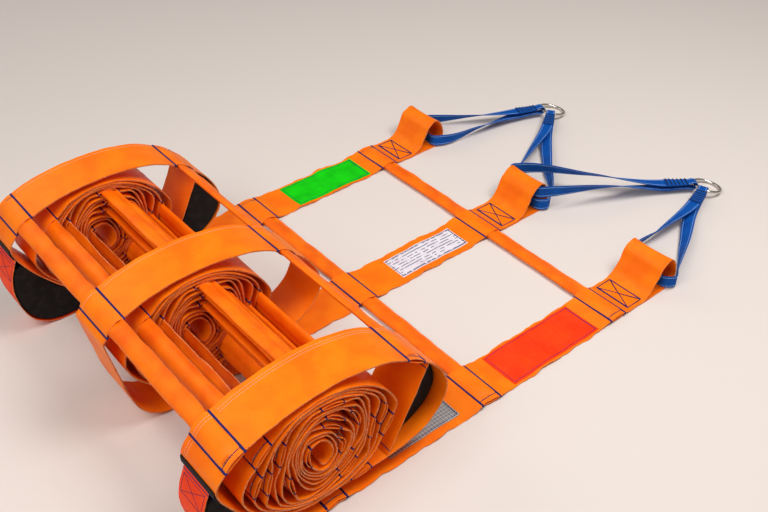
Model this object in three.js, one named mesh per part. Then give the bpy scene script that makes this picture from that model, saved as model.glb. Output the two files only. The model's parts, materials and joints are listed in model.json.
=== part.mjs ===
// Escape rope ladder, rolled up with its top end laid out: three fabric straps, sleeved rungs
// sewn into pockets, foam stand-offs, and a webbing bridle with two steel rings.
// Millimetres. X runs along the rungs, Y along the straps towards the rings, Z up.
import * as THREE from "three";

// Driving dimensions.
const LADDER_WIDTH = 700;
const STRAP_WIDTH = 84;
const STRAP_THICKNESS = 2;
const PLY = 1;
const RUNG_PITCH = 305;
const RUNG_COUNT = 22;
const RUNG_HALF_WIDTH = 16;
const SLEEVE_THICKNESS = 9.4;
const SLEEVE_WALL = 0.9;
const POCKET_CLEARANCE = 0.3;
const POCKET_END_MARGIN = 8;
const HEM_REACH = 22;
const FREE_END = 90;
const SEAM_GAP = 0.6;
const TOUCH_GAP = 0.4;
const CHORD_SAG = 0.55;
const LAYER_GAP = 1.2;
const ROLL_WIDTH = 260;
const ROLL_HEIGHT = 196;
const ROLL_RISE = 34;
const PATCH_THICKNESS = 0.8;
const STAND_OFF_WIDTH = 60;
const BAND_THICKNESS = 1.6;
const BOX_STITCH_LENGTH = 40;
const BOX_STITCH_THICKNESS = 4;
const EYE_LENGTH = 80;
const WEBBING_WIDTH = 25;
const EYE_HEIGHT = 2 * WEBBING_WIDTH + 12;
const WEBBING_THICKNESS = 1.6;
const WEBBING_WIDTH_AT_RING = 17;
const SLING_INSET = 22;
const RING_WIRE = 6;
const RING_OUTER_DIAMETER = 63;
const RING_TILT = THREE.MathUtils.degToRad(15);
const RING_PLACES = [
  { name: "ring_1", x: -200, y: 427 },
  { name: "ring_2", x: 210, y: 442 },
];

// Sizes that follow from them.
const HALF_STRAP = STRAP_THICKNESS / 2;
const HALF_SLEEVE = SLEEVE_THICKNESS / 2;
const HALF_POCKET = HALF_SLEEVE + POCKET_CLEARANCE + PLY;
const POCKET_FLAT = RUNG_HALF_WIDTH - 2;
const STRAP_OFFSET = (LADDER_WIDTH - STRAP_WIDTH) / 2;
const SLEEVE_LENGTH = LADDER_WIDTH - 2 * POCKET_END_MARGIN;
const STRAPS = [
  { side: "left", x: -STRAP_OFFSET },
  { side: "centre", x: 0 },
  { side: "right", x: STRAP_OFFSET },
];
const TAIL_RUNGS = 3;
const TURN_RUNG = 4;
const LAST_ROD = 5;

// Finishes.
const finish = (color, roughness, metalness = 0) =>
  new THREE.MeshStandardMaterial({ color, roughness, metalness });
const ORANGE = finish(0xff7a00, 0.55);
const RED_ORANGE = finish(0xff4a10, 0.7);
const RED = finish(0xff3000, 0.7);
const GREEN = finish(0x10d820, 0.6);
const WHITE = finish(0xe8e6f0, 0.6);
const SILVER = finish(0xb8b8b4, 0.4);
const BLACK = finish(0x1a1817, 0.9);
const BLUE = finish(0x0a62b8, 0.7);
const STEEL = finish(0xc8c4bc, 0.25, 1);
const ROD = finish(0xd9d2b0, 0.5);

const ladder = new THREE.Group();
ladder.name = "escape_ladder";

function addMesh(name, geometry, material) {
  const mesh = new THREE.Mesh(geometry, material);
  mesh.name = name;
  ladder.add(mesh);
  return mesh;
}

// A profile drawn in the (Y, Z) plane, pushed out along X from xStart.
const PROFILE_TO_WORLD = new THREE.Matrix4().set(
  0, 0, 1, 0,
  1, 0, 0, 0,
  0, 1, 0, 0,
  0, 0, 0, 1,
);

function pushOut(outline, holes, xStart, width) {
  const shape = new THREE.Shape(outline);
  shape.holes = holes.map((hole) => new THREE.Path(hole));
  const geometry = new THREE.ExtrudeGeometry(shape, { depth: width, bevelEnabled: false, steps: 1 });
  geometry.applyMatrix4(PROFILE_TO_WORLD);
  geometry.translate(xStart, 0, 0);
  return geometry;
}

// Eases from 0 to 1 as x goes from 0 to 1.
const ease = (x) => THREE.MathUtils.smoothstep(x, 0, 1);

// A route through the (Y, Z) plane, measured along its length from the middle of rung 1.
class Route {
  constructor(points, start, evenStep) {
    this.points = points;
    this.places = [start];
    for (let i = 1; i < points.length; i++) {
      const step = evenStep ?? points[i].distanceTo(points[i - 1]);
      this.places.push(this.places[i - 1] + step);
    }
  }

  // This route with another one joined to its end.
  join(next) {
    const joined = new Route([...this.points], this.places[0]);
    joined.points.push(...next.points.slice(1));
    joined.places = [...this.places, ...next.places.slice(1)];
    return joined;
  }

  get end() {
    return this.places[this.places.length - 1];
  }

  // The point at a place along the route.
  point(place) {
    let low = 0;
    let high = this.places.length - 1;
    while (high - low > 1) {
      const middle = (low + high) >> 1;
      if (this.places[middle] > place) high = middle;
      else low = middle;
    }
    const span = this.places[high] - this.places[low];
    return this.points[low].clone().lerp(this.points[high], (place - this.places[low]) / span);
  }

  // The point at a place, moved towards the inside of the roll (upwards on the laid-out end).
  offset(place, inward) {
    const reach = 5;
    const ahead = this.point(Math.min(place + reach, this.end));
    const tangent = ahead.sub(this.point(Math.max(place - reach, this.places[0]))).normalize();
    return this.point(place).add(new THREE.Vector2(tangent.y, -tangent.x).multiplyScalar(inward));
  }

  // Places from one end of a stretch to the other, close enough that chords stay true.
  stops(from, to) {
    const step = 2;
    const longest = 60;
    const result = [from];
    let last = from;
    for (let place = from + step; place < to; place += step) {
      const start = this.point(last);
      const chord = this.point(place).sub(start);
      const middle = this.point((last + place) / 2).sub(start);
      const away = Math.abs(chord.cross(middle)) / chord.length();
      if (away > CHORD_SAG || place - last > longest) {
        last = place - step;
        result.push(last);
      }
    }
    result.push(to);
    return result;
  }
}

const rungPlace = (rung) => (rung - 1) * RUNG_PITCH;

// How far a strap is lifted towards the middle of the nearest rung, from 0 to 1.
function lift(place) {
  const rampEnd = 44;
  const nearest = Math.max(0, Math.round(place / RUNG_PITCH)) * RUNG_PITCH;
  return 1 - ease((Math.abs(place - nearest) - HEM_REACH) / (rampEnd - HEM_REACH));
}

// The laid-out end: the straps lie on the ground and rise to the middle of each rung.
function tailPoints() {
  const step = 3;
  const end = rungPlace(TAIL_RUNGS) + HEM_REACH;
  const points = [];
  for (let place = -HEM_REACH; place < end; place += step) {
    const height = HALF_STRAP + (HALF_POCKET - HALF_STRAP) * lift(place);
    points.push(new THREE.Vector2(-place, height));
  }
  points.push(new THREE.Vector2(-end, HALF_POCKET));
  return points;
}

// The outer turn, from rung 3 on the ground up the left, over the top and down the right,
// as distances from rung 3 for a bay of 305 mm. It grows with the bay.
const turnScale = RUNG_PITCH / 305;
const turnPoint = ([along, height]) =>
  new THREE.Vector2(along * turnScale - rungPlace(TAIL_RUNGS), height * turnScale);
const ROLL_MIDDLE = turnPoint([-15, ROLL_RISE + ROLL_HEIGHT / 2]);
const rollHalfWidth = (ROLL_WIDTH / 2) * turnScale;
const rollHalfHeight = (ROLL_HEIGHT / 2) * turnScale;

function splinePoints(points, count) {
  const curve = new THREE.CatmullRomCurve3(
    points.map((p) => new THREE.Vector3(p.x, p.y, 0)),
    false,
    "centripetal",
  );
  return curve.getSpacedPoints(count).map((p) => new THREE.Vector2(p.x, p.y));
}

function outerTurnPoints() {
  const start = new THREE.Vector2(-rungPlace(TAIL_RUNGS) - HEM_REACH, HALF_POCKET);
  const way = [
    [-54, 19], [-102, 60], [-142, 106], [-166, 146], [-174, 176], [-146, 208], [-110, 226],
    [-60, 237], [-12, 240], [50, 236], [100, 223], [148, 195], [182, 165], [202, 130],
    [206, 100], [192, 70], [156, 46], [110, 38], [50, 35],
  ].map(turnPoint);
  const inner = rollHalfHeight - LAYER_GAP - HALF_STRAP;
  const end = new THREE.Vector2(ROLL_MIDDLE.x, ROLL_MIDDLE.y - inner);
  return splinePoints([start, ...way, end], 450);
}

// The inner turns. Each turn lies inside the one before, pulled straight past its rungs.
function innerTurns(outer) {
  const stepsPerTurn = 240;
  const stepAngle = (2 * Math.PI) / stepsPerTurn;
  const stepsSeen = 26;
  const straightness = 0.4;
  const wrap = [];
  for (let i = 0; i < stepsPerTurn; i++) {
    const angle = i * stepAngle;
    const across = rollHalfHeight * Math.sin(angle);
    const along = rollHalfWidth * Math.cos(angle);
    wrap.push((rollHalfWidth * rollHalfHeight) / Math.hypot(across, along));
  }
  const points = [];
  let place = outer.end;
  let last = outer.points[outer.points.length - 1];
  const end = rungPlace(RUNG_COUNT) + HEM_REACH + FREE_END;
  for (let i = 0; place < end; i++) {
    let room = Infinity;
    for (let k = -stepsSeen; k <= stepsSeen; k++) {
      const seen = wrap[Math.max(0, Math.min(i + k, wrap.length - 1))];
      room = Math.min(room, seen + straightness * wrap[i] * (k * stepAngle) ** 2);
    }
    const raised = lift(place);
    const middle = room - LAYER_GAP - HALF_STRAP - (HALF_POCKET - HALF_STRAP) * raised;
    wrap.push(middle - (raised > 0.99 ? HALF_POCKET : HALF_STRAP));
    const angle = i * stepAngle;
    const point = new THREE.Vector2(
      ROLL_MIDDLE.x - middle * Math.sin(angle),
      ROLL_MIDDLE.y - middle * Math.cos(angle),
    );
    place += point.distanceTo(last);
    last = point;
    points.push(point);
  }
  return relaxed(new Route([outer.points[outer.points.length - 1], ...points], outer.end));
}

// The same route in even steps, with the kinks rounded off where a turn leaves a rung of the
// turn before. A place on it stays beside the same rung.
function relaxed(way) {
  const passes = 6;
  const step = 2;
  let result = [];
  for (let place = way.places[0]; place < way.end; place += step) result.push(way.point(place));
  for (let pass = 0; pass < passes; pass++) {
    result = result.map((point, i) => {
      if (i === 0 || i === result.length - 1) return point;
      const beside = result[i - 1].clone().add(result[i + 1]).multiplyScalar(0.25);
      return beside.addScaledVector(point, 0.5);
    });
  }
  return new Route(result, way.places[0], step);
}

const tail = new Route(tailPoints(), -HEM_REACH);
const outerTurn = new Route(outerTurnPoints(), rungPlace(TAIL_RUNGS) + HEM_REACH);
const route = tail.join(outerTurn).join(innerTurns(outerTurn));

// A band of fabric along a route between two offsets from its middle line.
function bandOutline(way, from, to, low, high) {
  const stops = way.stops(from, to);
  const upper = stops.map((place) => way.offset(place, high));
  const lower = stops.map((place) => way.offset(place, low)).reverse();
  return [...upper, ...lower];
}

// Half-profile of a pocket or a rung around a rung's middle: [distance along, height].
const pocketProfile = [
  [-HEM_REACH, HALF_STRAP], [-POCKET_FLAT, HALF_POCKET], [0, HALF_POCKET],
  [POCKET_FLAT, HALF_POCKET], [HEM_REACH, HALF_STRAP],
];
const rungProfile = (inset) => {
  const edge = RUNG_HALF_WIDTH - inset;
  const flat = POCKET_FLAT - inset;
  const half = HALF_SLEEVE - inset;
  return [[-edge, half / 3], [-flat, half], [0, half], [flat, half], [edge, half / 3]];
};

function rungOutline(way, middle, inset) {
  const profile = rungProfile(inset);
  const upper = profile.map(([along, height]) => way.offset(middle + along, height));
  const lower = profile.map(([along, height]) => way.offset(middle + along, -height)).reverse();
  return [...upper, ...lower];
}

// A strap segment with a pocket around each of the given rungs.
function strapSegment(way, from, to, rungPlaces) {
  const near = (place) => rungPlaces.some((middle) => Math.abs(place - middle) < HEM_REACH + 2);
  const marks = way.stops(from, to)
    .filter((place) => !near(place))
    .map((place) => [place, HALF_STRAP]);
  for (const middle of rungPlaces) {
    for (const [along, height] of pocketProfile) marks.push([middle + along, height]);
  }
  marks.sort((a, b) => a[0] - b[0]);
  const upper = marks.map(([place, height]) => way.offset(place, height));
  const lower = marks.map(([place, height]) => way.offset(place, -height)).reverse();
  const eyes = rungPlaces.map((middle) => rungOutline(way, middle, -POCKET_CLEARANCE));
  return { outline: [...upper, ...lower], holes: eyes };
}

const segmentStart = (rung) => rungPlace(rung) + HEM_REACH + SEAM_GAP;
const segmentStop = (rung) => rungPlace(rung) + HEM_REACH;

// The slack centre strap between rungs 3 and 4, which hangs as a loose loop.
function slackRoute() {
  const join = rungPlace(TURN_RUNG) - HEM_REACH - 8;
  const start = new THREE.Vector2(-rungPlace(TAIL_RUNGS) - HEM_REACH, HALF_POCKET);
  const loop = [[-60, 3], [-98, 6], [-127, 27], [-143, 62], [-151, 105], [-160, 150]].map(turnPoint);
  const hanging = splinePoints([start, ...loop, route.point(join)], 90);
  const pocket = [];
  for (let place = join + 3; place < rungPlace(TURN_RUNG) + HEM_REACH + 6; place += 3) {
    pocket.push(route.point(place));
  }
  const way = new Route([...hanging, ...pocket], rungPlace(TAIL_RUNGS) + HEM_REACH);
  const longer = way.places[hanging.length - 1] - join;
  return { way, longer };
}

// An end segment: pocket of rung 1, box stitch, then the strap folded back into an open eye.
const BOX_START = HEM_REACH + 8;
const BOX_END = BOX_START + BOX_STITCH_LENGTH;
const EYE_FAR = BOX_END + EYE_LENGTH;

function eyeMiddle(count) {
  const way = [
    [BOX_END + 6, BOX_STITCH_THICKNESS / 2], [BOX_END + 30, HALF_STRAP], [EYE_FAR - 18, HALF_STRAP],
    [EYE_FAR - 5, 8], [EYE_FAR, 26], [EYE_FAR - 5, 46], [EYE_FAR - 22, EYE_HEIGHT],
    [EYE_FAR - 40, EYE_HEIGHT - 8], [BOX_END + 20, 22],
  ].map(([y, z]) => new THREE.Vector3(y, z, 0));
  const curve = new THREE.CatmullRomCurve3(way, true, "centripetal");
  return curve.getSpacedPoints(count).slice(0, count);
}

function endSegment() {
  const count = 22;
  const crotch = BOX_END + 10;
  const middle = eyeMiddle(count);
  const moved = (amount) => middle.map((point, i) => {
    const next = middle[(i + 1) % count];
    const before = middle[(i + count - 1) % count];
    const outward = new THREE.Vector2(next.y - before.y, before.x - next.x).normalize();
    const place = outward.multiplyScalar(amount).add(new THREE.Vector2(point.x, point.y));
    place.y = Math.max(place.y, 0);
    return place;
  }).filter((place) => place.x > crotch);
  const pocket = [[-segmentStop(1), HALF_STRAP], ...pocketProfile.slice(1)];
  const side = (sign) => pocket.map(([y, height]) => new THREE.Vector2(y, HALF_POCKET + sign * height));
  const outline = [
    ...side(-1),
    new THREE.Vector2(BOX_START, 0),
    ...moved(HALF_STRAP),
    new THREE.Vector2(BOX_END, BOX_STITCH_THICKNESS),
    new THREE.Vector2(BOX_START, BOX_STITCH_THICKNESS),
    ...side(1).reverse(),
  ];
  const pocketEye = rungProfile(-POCKET_CLEARANCE);
  const upper = pocketEye.map(([y, height]) => new THREE.Vector2(y, HALF_POCKET + height));
  const lower = pocketEye.map(([y, height]) => new THREE.Vector2(y, HALF_POCKET - height)).reverse();
  return { outline, holes: [[...upper, ...lower], moved(-HALF_STRAP)] };
}

// Straps, cut where the ladder folds.
function addStraps() {
  const slack = slackRoute();
  for (const { side, x } of STRAPS) {
    const xStart = x - STRAP_WIDTH / 2;
    const add = (name, { outline, holes }) =>
      addMesh(`${name}_${side}`, pushOut(outline, holes, xStart, STRAP_WIDTH), ORANGE);
    add("strap_end", endSegment());
    for (const rung of [2, 3]) {
      const segment = strapSegment(route, segmentStart(rung - 1), segmentStop(rung), [rungPlace(rung)]);
      add(`strap_bay_${rung - 1}`, segment);
    }
    const isSlack = side === "centre";
    const way = isSlack ? slack.way : route;
    const added = isSlack ? slack.longer : 0;
    const turn = rungPlace(TURN_RUNG) + added;
    const bay = strapSegment(way, segmentStart(TAIL_RUNGS), segmentStop(TURN_RUNG) + added, [turn]);
    add("strap_bay_3", bay);
    const rolled = [];
    for (let rung = TURN_RUNG + 1; rung <= RUNG_COUNT; rung++) rolled.push(rungPlace(rung));
    add("strap_roll", strapSegment(route, segmentStart(TURN_RUNG), route.end, rolled));
  }
}

// Rungs: a fabric sleeve around a stiff rod. Deep in the roll the two are one solid.
function addRungs() {
  for (let rung = 1; rung <= RUNG_COUNT; rung++) {
    const middle = rungPlace(rung);
    const label = String(rung).padStart(2, "0");
    const sleeve = rungOutline(route, middle, 0);
    const hollow = rung <= LAST_ROD ? [rungOutline(route, middle, SLEEVE_WALL)] : [];
    addMesh(`rung_sleeve_${label}`, pushOut(sleeve, hollow, -SLEEVE_LENGTH / 2, SLEEVE_LENGTH), ORANGE);
    if (rung > LAST_ROD) continue;
    const rod = rungOutline(route, middle, SLEEVE_WALL + POCKET_CLEARANCE);
    const rodLength = SLEEVE_LENGTH - 2 * RUNG_HALF_WIDTH;
    addMesh(`rung_rod_${label}`, pushOut(rod, [], -rodLength / 2, rodLength), ROD);
  }
}

// Flat patches sewn on the straps: from, to are distances from the middle of rung 1.
function addPatches() {
  const onTop = HALF_STRAP + 0.4;
  const [left, centre, right] = STRAPS.map(({ x }) => x);
  const reflectorStart = RUNG_PITCH + 55;
  const reflectorEnd = RUNG_PITCH + 195;
  const patches = [
    { name: "green_patch", x: left, width: 74, from: 46, to: 226, material: GREEN },
    { name: "red_patch", x: right, width: 76, from: 46, to: 248, material: RED },
    { name: "data_label", x: centre, width: 58, from: 52, to: 212, material: WHITE },
    {
      name: "reflective_patch", x: right, width: 54, from: reflectorStart, to: reflectorEnd,
      material: SILVER,
    },
  ];
  for (const { name, x, width, from, to, material } of patches) {
    const outline = bandOutline(route, from, to, onTop, onTop + PATCH_THICKNESS);
    addMesh(name, pushOut(outline, [], x - width / 2, width), material);
  }
}

// A band of given thickness to one side of a list of points.
function bandAlong(points, low, high) {
  const way = new Route(points, 0);
  return bandOutline(way, 0, way.end, low, high);
}

// Foam stand-offs on the outer straps. The front pair bulges below the strap between rungs 3
// and 4; the back pair fills the loop of the strap between rungs 5 and 6.
function addStandOffs() {
  const clear = HALF_STRAP + TOUCH_GAP + CHORD_SAG;
  const places = (from, to, count) =>
    Array.from({ length: count }, (_, i) => from + ((to - from) * i) / (count - 1));

  const frontFrom = segmentStart(TAIL_RUNGS) + 26;
  const frontTo = rungPlace(TURN_RUNG) - HEM_REACH - 54;
  const bulge = [[-66, 6], [-100, 1.5], [-140, 5], [-170, 26], [-186, 66], [-188, 108]].map(turnPoint);
  const bandStart = route.offset(frontFrom - 8, -clear - BAND_THICKNESS / 2);
  const bandEnd = route.offset(frontTo + 8, -clear - BAND_THICKNESS / 2);
  const bandPoints = splinePoints([bandStart, ...bulge, bandEnd], 60);
  const bandRoute = new Route(bandPoints, 0);
  const inBand = BAND_THICKNESS / 2 + 3 * TOUCH_GAP;
  const frontFoam = [
    ...places(frontFrom + 14, frontTo - 8, 12).map((place) => route.offset(place, -clear)),
    ...places(bandRoute.end - 20, 26, 18).map((place) => bandRoute.offset(place, inBand)),
  ];

  const backFrom = segmentStart(TURN_RUNG + 1) + 8;
  const backTo = rungPlace(TURN_RUNG + 2) - HEM_REACH - 26;
  const chordStart = route.offset(backFrom, clear + BAND_THICKNESS / 2);
  const chordEnd = route.offset(backTo, clear + BAND_THICKNESS / 2);
  const chordMiddle = chordStart.clone().lerp(chordEnd, 0.5).add(new THREE.Vector2(3, 2));
  const chordPoints = splinePoints([chordStart, chordMiddle, chordEnd], 12);
  const chordRoute = new Route(chordPoints, 0);
  const backFoam = [
    ...places(backFrom + 14, backTo - 14, 18).map((place) => route.offset(place, clear)),
    ...places(chordRoute.end - 14, 12, 4).map((place) => chordRoute.offset(place, -inBand)),
  ];

  const edge = LADDER_WIDTH / 2 - STRAP_WIDTH;
  for (const { side, x } of STRAPS) {
    if (x === 0) continue;
    const sign = Math.sign(x);
    const foamStart = sign > 0 ? edge : -edge - STAND_OFF_WIDTH;
    const strapStart = x - STRAP_WIDTH / 2;
    const band = bandAlong(bandPoints, -BAND_THICKNESS / 2, BAND_THICKNESS / 2);
    const chord = bandAlong(chordPoints, -BAND_THICKNESS / 2, BAND_THICKNESS / 2);
    addMesh(`front_foam_${side}`, pushOut(frontFoam, [], foamStart, STAND_OFF_WIDTH), BLACK);
    addMesh(`front_band_${side}`, pushOut(band, [], foamStart, STAND_OFF_WIDTH), RED_ORANGE);
    addMesh(`back_foam_${side}`, pushOut(backFoam, [], foamStart, STAND_OFF_WIDTH), BLACK);
    addMesh(`back_chord_${side}`, pushOut(chord, [], strapStart, STRAP_WIDTH), ORANGE);
  }
}

// A closed loop of webbing through stations: a middle, the way its width points, its width.
function webbingLoop(stations) {
  const perStation = 2;
  const sections = perStation * stations.length;
  const middles = new THREE.CatmullRomCurve3(stations.map((s) => s.at), true, "centripetal");
  const positions = [];
  const indices = [];
  for (let i = 0; i < sections; i++) {
    const t = i / sections;
    const whole = Math.floor(i / perStation);
    const part = i / perStation - whole;
    const here = stations[whole % stations.length];
    const next = stations[(whole + 1) % stations.length];
    const at = middles.getPoint(t);
    const tangent = middles.getTangent(t);
    const across = here.across.clone().lerp(next.across, part);
    across.addScaledVector(tangent, -across.dot(tangent)).normalize();
    const through = new THREE.Vector3().crossVectors(tangent, across);
    const halfWidth = THREE.MathUtils.lerp(here.width, next.width, part) / 2;
    for (const [a, b] of [[1, 1], [1, -1], [-1, -1], [-1, 1]]) {
      const corner = at.clone().addScaledVector(across, a * halfWidth);
      corner.addScaledVector(through, (b * WEBBING_THICKNESS) / 2);
      positions.push(corner.x, corner.y, corner.z);
    }
    const after = ((i + 1) % sections) * 4;
    for (let k = 0; k < 4; k++) {
      const a = i * 4 + k;
      const b = i * 4 + ((k + 1) % 4);
      const c = after + ((k + 1) % 4);
      const d = after + k;
      indices.push(a, c, b, a, d, c);
    }
  }
  const geometry = new THREE.BufferGeometry();
  geometry.setAttribute("position", new THREE.Float32BufferAttribute(positions, 3));
  geometry.setIndex(indices);
  return geometry;
}

// A sling from a strap's end eye to a ring: around the ring's wire, one strand to each mouth of
// the eye. The mouth on the far side is reached around the outside of the folded strap.
const UP = new THREE.Vector3(0, 0, 1);
const ringRadius = (RING_OUTER_DIAMETER - RING_WIRE) / 2;
const ringMiddle = ({ x, y }) =>
  new THREE.Vector3(x, y, RING_WIRE / 2 + ringRadius * Math.sin(RING_TILT));

function slingStations(eyeX, eyeHeight, ring) {
  const middle = ringMiddle(ring);
  const away = new THREE.Vector3(eyeX - middle.x, EYE_FAR - middle.y, 0).normalize();
  const turn = Math.atan2(away.x, -away.y);
  const wire = middle.clone().add(new THREE.Vector3(
    ringRadius * Math.sin(turn),
    -ringRadius * Math.cos(turn) * Math.cos(RING_TILT),
    ringRadius * Math.cos(turn) * Math.sin(RING_TILT),
  ));
  const flat = new THREE.Vector3().crossVectors(UP, away).normalize();
  const room = RING_WIRE / 2 + WEBBING_THICKNESS + 2.8;
  const station = (out, height, width) => ({
    at: wire.clone().addScaledVector(away, out).add(new THREE.Vector3(0, 0, height)),
    across: flat,
    width,
  });
  const reach = STRAP_WIDTH / 2;
  const eyeY = EYE_FAR - SLING_INSET;
  const ringSide = Math.sign(ring.x - eyeX);
  const upright = (x, y, height) =>
    ({ at: new THREE.Vector3(x, y, height), across: UP, width: WEBBING_WIDTH });
  const strand = (sign, height) => {
    const mouth = new THREE.Vector3(eyeX + sign * (reach + 9), EYE_FAR - 8, eyeHeight);
    const corner = new THREE.Vector3(eyeX + sign * (reach - 2), EYE_FAR + 12, eyeHeight);
    const half = wire.clone().addScaledVector(away, 60).lerp(mouth, 0.5);
    half.z = THREE.MathUtils.lerp(wire.z + height, eyeHeight, 0.7);
    const slanted = flat.clone().add(UP).normalize();
    return [
      station(60, height, WEBBING_WIDTH),
      { at: half, across: slanted, width: WEBBING_WIDTH },
      ...(sign === ringSide ? [] : [upright(corner.x, corner.y, eyeHeight)]),
      upright(mouth.x, mouth.y, eyeHeight),
    ];
  };
  return [
    station(-room, 0, WEBBING_WIDTH_AT_RING),
    station(0, room, WEBBING_WIDTH_AT_RING),
    station(14, room * 0.7, WEBBING_WIDTH_AT_RING + 3),
    ...strand(-1, 5),
    upright(eyeX - reach, eyeY, eyeHeight),
    upright(eyeX, eyeY, eyeHeight),
    upright(eyeX + reach, eyeY, eyeHeight),
    ...strand(1, -5).reverse(),
    station(14, -room * 0.7, WEBBING_WIDTH_AT_RING + 3),
    station(0, -room, WEBBING_WIDTH_AT_RING),
  ];
}

function addBridle() {
  const [left, centre, right] = STRAPS.map(({ x }) => x);
  const low = STRAP_THICKNESS + WEBBING_WIDTH / 2 + 2;
  const high = low + WEBBING_WIDTH + 4;
  const [first, second] = RING_PLACES;
  const slings = [
    { name: "sling_left", x: left, height: low, ring: first },
    { name: "sling_centre_left", x: centre, height: low, ring: first },
    { name: "sling_centre_right", x: centre, height: high, ring: second },
    { name: "sling_right", x: right, height: low, ring: second },
  ];
  for (const { name, x, height, ring } of slings) {
    addMesh(name, webbingLoop(slingStations(x, height, ring)), BLUE);
  }
  for (const ring of RING_PLACES) {
    const torus = new THREE.TorusGeometry(ringRadius, RING_WIRE / 2, 8, 20);
    torus.rotateX(-RING_TILT);
    const mesh = addMesh(ring.name, torus, STEEL);
    mesh.position.copy(ringMiddle(ring));
  }
}

addStraps();
addRungs();
addPatches();
addStandOffs();
addBridle();

// The origin sits on the ground under the middle of the whole object.
const bounds = new THREE.Box3().setFromObject(ladder, true);
ladder.position.set(-(bounds.min.x + bounds.max.x) / 2, -(bounds.min.y + bounds.max.y) / 2, -bounds.min.z);

export default ladder;
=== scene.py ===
"""A rolled escape ladder: its coated fabric, stitching, foam, webbing and steel, around the CAD frame.

Metres throughout. X runs along the rungs, Y along the laid-out straps towards the rings, Z up.
"""

import json
import logging
import math
from collections.abc import Callable, Sequence
from dataclasses import dataclass, field
from enum import Enum

import bpy
import numpy as np
from mathutils import Matrix, Vector


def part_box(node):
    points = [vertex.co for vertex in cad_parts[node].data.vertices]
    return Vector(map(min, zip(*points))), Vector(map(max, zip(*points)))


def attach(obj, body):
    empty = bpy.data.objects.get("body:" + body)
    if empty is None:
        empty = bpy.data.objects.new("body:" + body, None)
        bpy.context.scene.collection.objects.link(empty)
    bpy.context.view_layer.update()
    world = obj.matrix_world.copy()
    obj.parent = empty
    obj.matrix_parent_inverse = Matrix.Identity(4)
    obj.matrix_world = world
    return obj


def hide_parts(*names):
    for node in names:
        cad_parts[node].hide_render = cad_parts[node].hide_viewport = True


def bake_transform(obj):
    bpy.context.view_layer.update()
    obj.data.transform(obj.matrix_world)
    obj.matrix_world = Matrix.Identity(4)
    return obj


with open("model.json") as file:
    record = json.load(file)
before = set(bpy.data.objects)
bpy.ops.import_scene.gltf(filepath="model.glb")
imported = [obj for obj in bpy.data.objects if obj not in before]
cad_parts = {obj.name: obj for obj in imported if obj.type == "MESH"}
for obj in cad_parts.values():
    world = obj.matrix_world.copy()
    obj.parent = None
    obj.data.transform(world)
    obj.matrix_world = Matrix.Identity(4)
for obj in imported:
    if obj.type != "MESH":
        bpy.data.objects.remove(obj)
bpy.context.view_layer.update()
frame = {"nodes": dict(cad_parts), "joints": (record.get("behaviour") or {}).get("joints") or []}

log = logging.getLogger("escape_ladder")

Array = np.ndarray
Material = bpy.types.Material
Tree = bpy.types.NodeTree
Socket = bpy.types.NodeSocket
MM = 0.001
FABRIC_MAP = "FabricMap"

# Sizes shared by the straps, the rungs and the patches.
STRAP_WIDTH = 84 * MM
HALF_STRAP = 1.0 * MM
PLY = 0.9 * MM
POCKET_RISE = 5.0 * MM
STITCH_REACH = 18 * MM
FOLD_REACH = 22.3 * MM
FOLD_HALF = 2.5 * MM


class Side(Enum):
    """The three straps, seen from the rolled end with the rings beyond."""

    LEFT = "left"
    CENTRE = "centre"
    RIGHT = "right"

    @property
    def outward(self) -> int:
        """-1 on the left, 1 on the right and 0 in the middle."""
        return {"left": -1, "centre": 0, "right": 1}[self.value]


class Slot(Enum):
    """The names of the record's material slots."""

    COATED_FABRIC = "coated_fabric"
    BAND_FABRIC = "band_fabric"
    GREEN_FABRIC = "green_fabric"
    RED_FABRIC = "red_fabric"
    LABEL = "label_vinyl"
    REFLECTIVE = "reflective_tape"
    FOAM = "foam"
    WEBBING = "webbing"
    STEEL = "ring_steel"
    CORE = "rung_core"


# ---------------------------------------------------------------------------
# Shapes
# ---------------------------------------------------------------------------


def unit(vectors: Array) -> Array:
    """The vectors at length 1.

    Args:
        vectors: Vectors along the last axis.

    Returns:
        The same directions, each of length 1.
    """
    return vectors / np.maximum(np.linalg.norm(vectors, axis=-1, keepdims=True), 1e-12)


def wobble(places: Array, seed: int, length: float) -> Array:
    """A smooth uneven wave, such as the edge of hand-cut cloth.

    Args:
        places: Where to read the wave, in metres.
        seed: Which wave.
        length: The longest of its wavelengths, in metres.

    Returns:
        A height from about -1 to 1 at each place.
    """
    phases = np.random.RandomState(seed).uniform(0, 2 * math.pi, 4)
    total = np.zeros_like(np.asarray(places, float))
    for phase, share, height in zip(phases, (1.0, 0.61, 0.37, 0.23), (0.5, 0.35, 0.2, 0.12), strict=True):
        total += height * np.sin(2 * math.pi * np.asarray(places) / (length * share) + phase)
    return total


def eased(values: Array) -> Array:
    """0 below 0, 1 above 1, and a smooth step between."""
    clipped = np.clip(values, 0, 1)
    return clipped * clipped * (3 - 2 * clipped)


def run_along(points: Array) -> Array:
    """How far along a chain of straight lines each of its corners is."""
    return np.concatenate([[0], np.cumsum(np.linalg.norm(np.diff(points, axis=0), axis=1))])


def there_and_back(first: Array, second: Array) -> Array:
    """Sections that run across their first face and back across their second: (sections, points, ...)."""
    return np.concatenate([first, second[:, ::-1]], 1)


def round_trip(shares: Array) -> Array:
    """The pattern's places there and back, with the first once more to close it."""
    return np.concatenate([shares, shares[::-1], shares[:1]])


def in_row_frame(flat: Array) -> Array:
    """Directions in the (Y, Z) plane as directions in space."""
    return np.concatenate([np.zeros((len(flat), 1)), flat], 1)


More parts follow.
